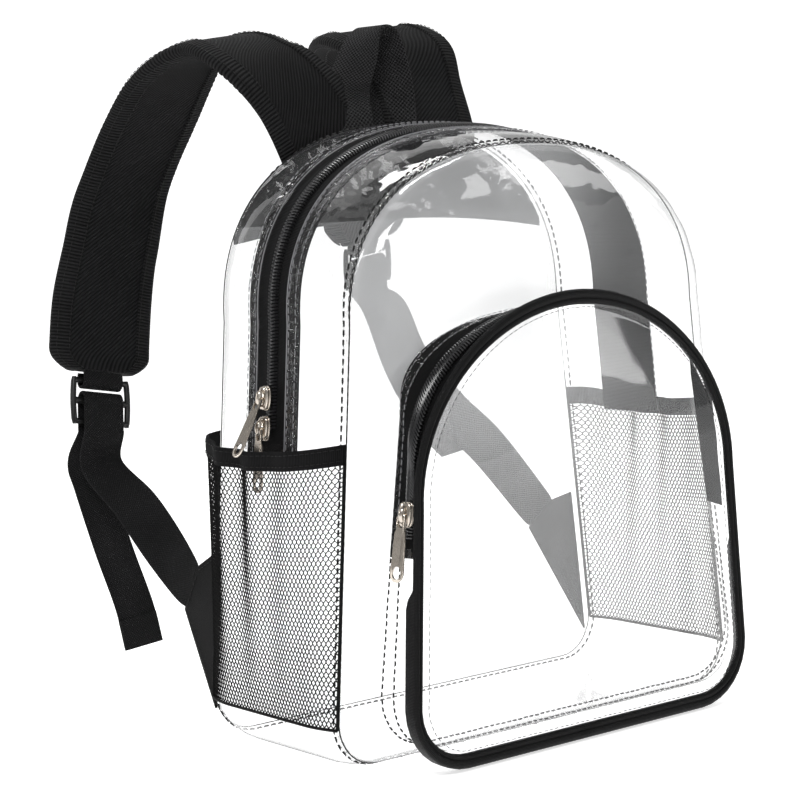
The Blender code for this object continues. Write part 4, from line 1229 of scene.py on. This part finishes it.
# Webbing from its buckle to its tab, and from its buckle to its free end: across, back, up
LEFT_RUN = ((-0.880, 0.930, 0.365), (-0.849, 0.795, 0.310), (-0.880, 0.615, 0.254))
RIGHT_RUN = ((0.895, 1.100, 0.560), (0.862, 0.974, 0.476), (0.830, 0.769, 0.400), (0.840, 0.590, 0.340))
LEFT_TAIL = ((-0.900, 0.988, 0.370), (-0.885, 0.975, 0.326), (-0.850, 0.923, 0.232),
             (-0.812, 0.872, 0.147), (-0.796, 0.846, 0.084))
RIGHT_TAIL = ((0.915, 1.165, 0.555), (0.885, 1.035, 0.455), (0.860, 0.865, 0.365), (0.868, 0.760, 0.325))

HANDLE_ROUTE = (
    # across in half spans, back in webbing widths, up in rises, turn in degrees
    (-1.15, 0.00, 0.00, 0),
    (-0.98, 0.03, 0.18, 14),
    (-0.88, 0.28, 0.48, 42),
    (-0.28, 0.40, 0.72, 62),
    (0.14, 0.40, 0.92, 84),
    (0.52, 0.39, 0.98, 90),
    (0.90, 0.38, 0.92, 84),
    (1.02, 0.30, 0.66, 64),
    (0.95, 0.16, 0.42, 46),
    (0.84, 0.03, 0.20, 26),
    (0.81, 0.00, 0.05, 10),
)


def table_point(row):
    across, back, up = row[:3]
    return Vector((across * FOOT_HALF_WIDTH, back * STRAP_REACH, up * STRAP_CREST))


def frames_along(route, widths):
    """For each point its place, its width's direction and the way out of its face."""
    last = len(route) - 1
    frames = []
    for i, point in enumerate(route):
        line = (route[min(i + 1, last)] - route[max(i - 1, 0)]).normalized()
        across = squared(widths[i], line)
        frames.append((point, across, across.cross(line)))
    return frames


def ribbon(pieces, frames, width_of, profile):
    """A profile swept along frames; width_of(share) gives its width and thickness."""
    last = len(frames) - 1
    rings = []
    for i, (point, across, out) in enumerate(frames):
        width, thickness = width_of(i / last)
        rings.append([point + across * (a * width) + out * (b * thickness) for a, b in profile])
    pieces.tube(rings)


def rounded_profile(edge, count=5):
    """Flat band with rounded edges, as shares of its width and thickness."""
    points = [(x, -0.5) for x in spread(-0.5 + edge, 0.5 - edge, 8)]
    for i in range(1, count):
        turn = -math.pi / 2 + math.pi * i / count
        points.append((0.5 - edge + edge * math.cos(turn), 0.5 * math.sin(turn)))
    return points + [(-x, -y) for x, y in points]


WEBBING_PROFILE = rounded_profile(0.03)


def flat_band(pieces, frames, width, thickness):
    ribbon(pieces, frames, lambda share: (width, thickness), WEBBING_PROFILE)
    return pieces


def crowned(edge, inset):
    """Height of a stuffed strap's face at an inset from its bound edge, as shares of its sizes."""
    return edge + 0.32 * math.sin(min(1.0, inset / 0.16) * math.pi / 2) ** 0.7


def pad_profile():
    """A stuffed strap: crowned between its bound edges."""
    points = [(x, -crowned(0.18, 0.5 - abs(x))) for x in spread(-0.5, 0.5, 16)]
    return points + [(-x, -y) for x, y in points]


def edge_profile(side, width):
    """Binding folded over a strap's edge, from one face round to the other."""
    share = BINDING_WIDTH / width
    places = [0.5 - share * (1 - x) for x in spread(0.0, 1.0, 6)]
    points = [(at, crowned(0.27, 0.5 - at)) for at in places]
    outer = points + [(0.517, 0.12), (0.517, -0.12)] + [(x, -y) for x, y in reversed(points)]
    inside = [(x - 0.012, y * 0.55) for x, y in reversed(outer)]
    return [(x * side, y * side) for x, y in outer + inside]


def shoulder_strap(word, table):
    steps = 8
    coarse = 2
    points = [table_point(row) for row in table]
    for seated in points[:2]:
        seated.y = STRAP_SEAT
    turns = [Vector((1.0, row[3], row[4])) for row in table]
    route, widths = smooth_route(points, steps), smooth_route(turns, steps)
    cad_route, cad_widths = smooth_route(points, coarse), smooth_route(turns, coarse)
    end_share = 1.6 / (len(cad_route) - 1)

    def size(share):
        end = max(0.0, 1 - (1 - share) / end_share)
        start = min(1.0, STRAP_START_SHARE + max(0.0, share - 0.14) * 6)
        return STRAP_WIDTH * math.sqrt(1 - 0.55 * end * end), STRAP_THICKNESS * start

    frames = frames_along(route, widths)
    body = Pieces()
    ribbon(body, frames, size, pad_profile())
    strap = body.make("strap_" + word, "twill", "black_padding", "shoulder_strap_" + word, sharp=80)
    edges, seams = Pieces(), Pieces()
    for side in (-1, 1):
        ribbon(edges, frames, size, edge_profile(side, STRAP_WIDTH))
        for face in (-1, 1):
            for inset in (BINDING_WIDTH * 0.9, BINDING_WIDTH * 0.15):
                path = []
                for i, (point, across, out) in enumerate(frames):
                    width, thickness = size(i / (len(frames) - 1))
                    lift = crowned(0.30, inset / width)
                    path.append(point + across * side * (width / 2 - inset) + out * face * lift * thickness)
                stitches(seams, path, frames[len(frames) // 2][2] * face, STRAP_STITCH)
    edges.make("strap_binding_" + word, "binding", "black_webbing", sharp=80)
    seams.make("strap_stitches_" + word, "thread", "black_webbing")
    down = (cad_route[-1] - cad_route[-2]).normalized()
    across = squared(cad_widths[-1], down)
    return frame_matrix(cad_route[-1], across, -down, across.cross(-down))


def ladder_lock(word, place):
    """A moulded buckle: two rails and three rounded bars."""
    pieces = Pieces()
    rail = LOCK_WIDTH / 2 - LOCK_BAR / 2
    reach = LOCK_LENGTH / 2 - LOCK_BAR / 2
    for side in (-1, 1):
        rings = []
        for i, y in enumerate(spread(-reach - LOCK_BAR / 2, reach + LOCK_BAR / 2, 10)):
            at = Vector((side * (rail + LOCK_SWELL * math.cos(y / reach * math.pi / 2)), y, 0))
            end = 0.72 if i in (0, 10) else 1.0
            rings.append(ring_about(at, -FORWARDS, UP, LOCK_BAR * end, LOCK_THICKNESS * end, 12))
        pieces.tube(moved(place, rings))
    for y, size in ((-reach, LOCK_BAR), (0.0, LOCK_MIDDLE_BAR * 0.8), (reach, LOCK_BAR)):
        rings = []
        for x in spread(-rail, rail, 8):
            bow = LOCK_BOW * math.cos(x / rail * math.pi / 2)
            rings.append(ring_about(Vector((x, y, bow)), RIGHT, UP, size, LOCK_THICKNESS * 0.9, 12))
        pieces.tube(moved(place, rings))
    pieces.make("lock_" + word, "plastic", "black_plastic", "ladder_lock_" + word, sharp=60)


def wrap_points(bar_y, bar_half, side, clearance):
    """Places (y, z) where webbing turns round a bar of the buckle."""
    reach = bar_half + clearance
    face = LOCK_THICKNESS / 2 + clearance
    half = [(-bar_half, face), (bar_half * 0.7, face), (reach, face * 0.45)]
    return [(bar_y + side * y, z) for y, z in half + [(y, -z) for y, z in reversed(half)]]


def keeper_loop(word, strap_end, lock):
    """Webbing from the strap's end round the buckle's top bar and back."""
    clearance = WEBBING / 2 + LOCK_SLACK
    wrap = wrap_points(LOCK_LENGTH / 2 - LOCK_BAR / 2, LOCK_BAR / 2, -1, clearance)
    inner = [lock @ Vector((0, y, z)) for y, z in wrap]
    seat = STRAP_THICKNESS * 0.5 - WEBBING / 2
    top = strap_end @ Vector((0, -GAP - WEBBING / 2, seat))
    bottom = strap_end @ Vector((0, -GAP - WEBBING / 2, -seat))
    across = strap_end.to_3x3().col[0].copy()
    route = smooth_route([top, *inner, bottom], 4)
    loop = flat_band(Pieces(), frames_along(route, [across] * len(route)), WEBBING_WIDTH, WEBBING)
    loop.make("loop_" + word, "webbing", "black_webbing", "keeper_loop_" + word, sharp=80)


def adjusting_webbing(word, lock, run, tail, tip, tip_across, away):
    """One webbing: up from the tab, round the buckle's middle bar and down as a free tail."""
    clearance = WEBBING / 2 + LOCK_SLACK
    wrap = wrap_points(0.0, LOCK_MIDDLE_BAR / 2, 1, clearance)
    bar = [lock @ Vector((0, y, z)) for y, z in wrap]
    below = LOCK_LENGTH / 2 + LOCK_CLEAR_RUN
    face = clearance + LOCK_THICKNESS / 2
    rising = reversed([table_point(row) for row in run])
    up_leg = smooth_route([tip, tip + away * TAB_LEAD, *rising, lock @ Vector((0, -below, face))], 8)
    down_leg = smooth_route([lock @ Vector((0, -below, -face)), *[table_point(row) for row in tail]], 8)
    middle = smooth_route([up_leg[-1], lock @ Vector((0, -LOCK_LENGTH / 2, face)), *bar,
                           lock @ Vector((0, -LOCK_LENGTH / 2, -face)), down_leg[0]], 3)
    route = up_leg[:-1] + middle + down_leg[1:]
    lock_across = lock.to_3x3().col[0].copy()
    widths = [tip_across.lerp(lock_across, min(1.0, i / len(up_leg))) for i in range(len(route))]
    frames = frames_along(route, widths)
    pieces = flat_band(Pieces(), frames, WEBBING_WIDTH, WEBBING)
    flat_band(pieces, frames[-7:], WEBBING_WIDTH * 0.985, WEBBING * 2.1)
    pieces.make("webbing_" + word, "webbing", "black_webbing", "adjusting_webbing_" + word, sharp=80)


def anchor_tab(side, word, tip_row):
    """A folded triangle of cloth from the back corner seam out to the webbing's end."""
    tip = table_point(tip_row)
    seam_y = SEAM + GAP + FILM + GAP
    foot = Vector((side * (side_x(SEAM, TAB_FOOT_HEIGHT) - TAB), seam_y, TAB_FOOT_HEIGHT))
    head = Vector((side * (side_x(SEAM, TAB_TOP_HEIGHT) - TAB), seam_y, TAB_TOP_HEIGHT))
    reach = (tip - (foot + head) / 2).normalized() * TAB_REACH
    end = (foot + head) / 2 + reach
    across = squared((head - foot).normalized(), reach.normalized())
    low, high = end - across * TAB_TIP_WIDTH / 2, end + across * TAB_TIP_WIDTH / 2
    out = (head - foot).cross(reach).normalized()
    rings = []
    for share in spread(0.0, 1.0, 10):
        shift = Vector((0, TAB / 2 * (1 - share), 0))
        lower, upper = foot.lerp(low, share) + shift, head.lerp(high, share) + shift
        rings.append([lower.lerp(upper, t) + out * (face * TAB / 2 * (0.7 + 0.3 * math.sin(math.pi * t)))
                      for face, shares in ((1, spread(0.0, 1.0, 10)), (-1, spread(1.0, 0.0, 10)))
                      for t in shares])
    tab = Pieces().tube(rings).make("tab_" + word, "cloth", "black_cloth", "anchor_tab_" + word, sharp=70)
    rows = Pieces()
    for face in (-1, 1):
        for start, finish in ((foot, low), (head, high), (low, high)):
            inset = ((foot + head + low + high) / 4 - (start + finish) / 2).normalized() * 0.003
            lift = out * face * (TAB * 0.5)
            path = [start.lerp(finish, t) + inset + lift + Vector((0, TAB / 2 * (1 - t), 0))
                    for t in spread(0.08, 0.95, 8)]
            stitches(rows, path, out * face, TAB_STITCH)
    rows.make("tab_stitches_" + word, "thread", "black_cloth")
    away = reach.normalized()
    return end + away * GAP, across, away


def carry_handle():
    """A webbing loop sewn flat on the yoke, turned towards the camera and folded over at its top."""
    foot = BACK_TOP - HANDLE_LAP
    route = smooth_route([Vector((HANDLE_SHIFT + a * HANDLE_HALF_SPAN, HANDLE_SEAT + b * WEBBING_WIDTH,
                                  foot + c * HANDLE_RISE)) for a, b, c, _ in HANDLE_ROUTE], 8)
    turns = smooth_route([Vector((math.radians(row[3]), 0, 0)) for row in HANDLE_ROUTE], 8)
    widths = [Vector((math.cos(turn.x), -math.sin(turn.x), 0.0)) for turn in turns]
    loop = flat_band(Pieces(), frames_along(route, widths), WEBBING_WIDTH, HANDLE)
    loop.make("handle", "handle", "black_webbing", "carry_handle", sharp=80)


def back_yoke():
    """Coated cloth over the top of the back panel, from seam to seam, with its stitched edge."""
    low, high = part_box("back_yoke")
    half = high.x + YOKE_LAP

    def foot_at(x):
        return BACK_TOP - YOKE_DROP - YOKE_BOW * (x / half) ** 2

    rim = [(x, z) for x, z in grown(body_outline(SEAM), -FILM) if z > SPRING_HEIGHT]
    rim.sort(key=lambda point: point[0])
    rings = []
    for x, z in rim:
        foot = foot_at(x)
        if abs(x) > half or z < foot + 0.002:
            continue
        levels = spread(foot, z, 12)
        ripples = [wobble(Vector((x, 0, level)), 60.0, 0.0006) for level in levels]
        front, back = [[Vector((x, face + ripple, level)) for level, ripple in zip(levels, ripples)]
                       for face in (low.y, high.y)]
        rings.append(front + back[::-1])
    yoke = Pieces().tube(rings).make("yoke", "laminate", "black_cloth", "back_yoke", sharp=60)
    rows = Pieces()
    for rise in YOKE_ROWS:
        path = [Vector((x, high.y + THREAD_LIFT, foot_at(x) + rise))
                for x in spread(-half + 0.004, half - 0.004, 40)]
        stitches(rows, path, -FORWARDS, HEM_STITCH)
    rows.make("yoke_stitches", "thread", "black_cloth")


# Scene

def straps_and_webbing():
    for side, word, strap, run, tail in ((-1, "left", LEFT_STRAP, LEFT_RUN, LEFT_TAIL),
                                         (1, "right", RIGHT_STRAP, RIGHT_RUN, RIGHT_TAIL)):
        end = shoulder_strap(word, strap)
        lock = end @ Matrix.Translation((0, -STRAP_TO_LOCK - LOCK_LENGTH / 2, 0))
        ladder_lock(word, lock)
        keeper_loop(word, end, lock)
        tip, tip_across, away = anchor_tab(side, word, run[-1])
        adjusting_webbing(word, lock, run, tail, tip, tip_across, away)


def camera():
    data = bpy.data.cameras.new("camera")
    data.lens = CAMERA_LENS
    data.sensor_width = 36.0
    data.clip_end = 20.0
    made = linked("camera", data)
    facing = (CAMERA_AIM - CAMERA_EYE).to_track_quat('-Z', 'Y').to_matrix()
    roll = Matrix.Rotation(math.radians(CAMERA_ROLL), 3, 'Z')
    made.matrix_world = Matrix.Translation(CAMERA_EYE) @ (facing @ roll).to_4x4()
    bpy.context.scene.camera = made


def area_light(name, place, aim, size, power):
    data = bpy.data.lights.new(name, 'AREA')
    data.shape = 'RECTANGLE'
    data.size, data.size_y = size
    data.energy = power
    made = linked(name, data)
    made.location = place
    made.rotation_euler = (Vector(aim) - Vector(place)).to_track_quat('-Z', 'Y').to_euler()


def studio():
    """White floor and sweep behind the bag, a grey room and four soft lamps."""
    world = bpy.data.worlds.new("studio")
    world.use_nodes = True
    settings(world.node_tree, world.node_tree.nodes["Background"], Color=(1, 1, 1, 1), Strength=ROOM_STRENGTH)
    bpy.context.scene.world = world
    bpy.context.scene.view_settings.view_transform = 'Standard'
    for lamp in LAMPS:
        area_light(*lamp)
    sweep = Pieces()
    rows = []
    for back, rise in ((-6.0, 0.0), (2.4, 0.0), (3.0, 0.06), (3.5, 0.30), (3.8, 0.8), (3.9, 5.0)):
        rows.append([Vector((x, back, rise)) for x in (-9.0, -1.0, 4.0, 9.0)])
    sweep.grid(rows[:3])
    sweep.grid([[row[1], row[3]] for row in rows[2:]])
    mesh = sweep.mesh("sweep")
    mat, tree, shader = tree_of("sweep")
    settings(tree, shader, Base_Color=(0.9, 0.9, 0.9, 1), Roughness=0.9, Specular_IOR_Level=0.1,
             Emission_Color=(1, 1, 1, 1), Emission_Strength=SWEEP_GLOW)
    mesh.materials.append(mat)
    linked("sweep", mesh)


camera()
studio()
clear_shell()
main_zip()
front_pocket()
net_and_band(-1, "left")
net_and_band(1, "right")
sliders_and_pulls()
back_yoke()
carry_handle()
straps_and_webbing()
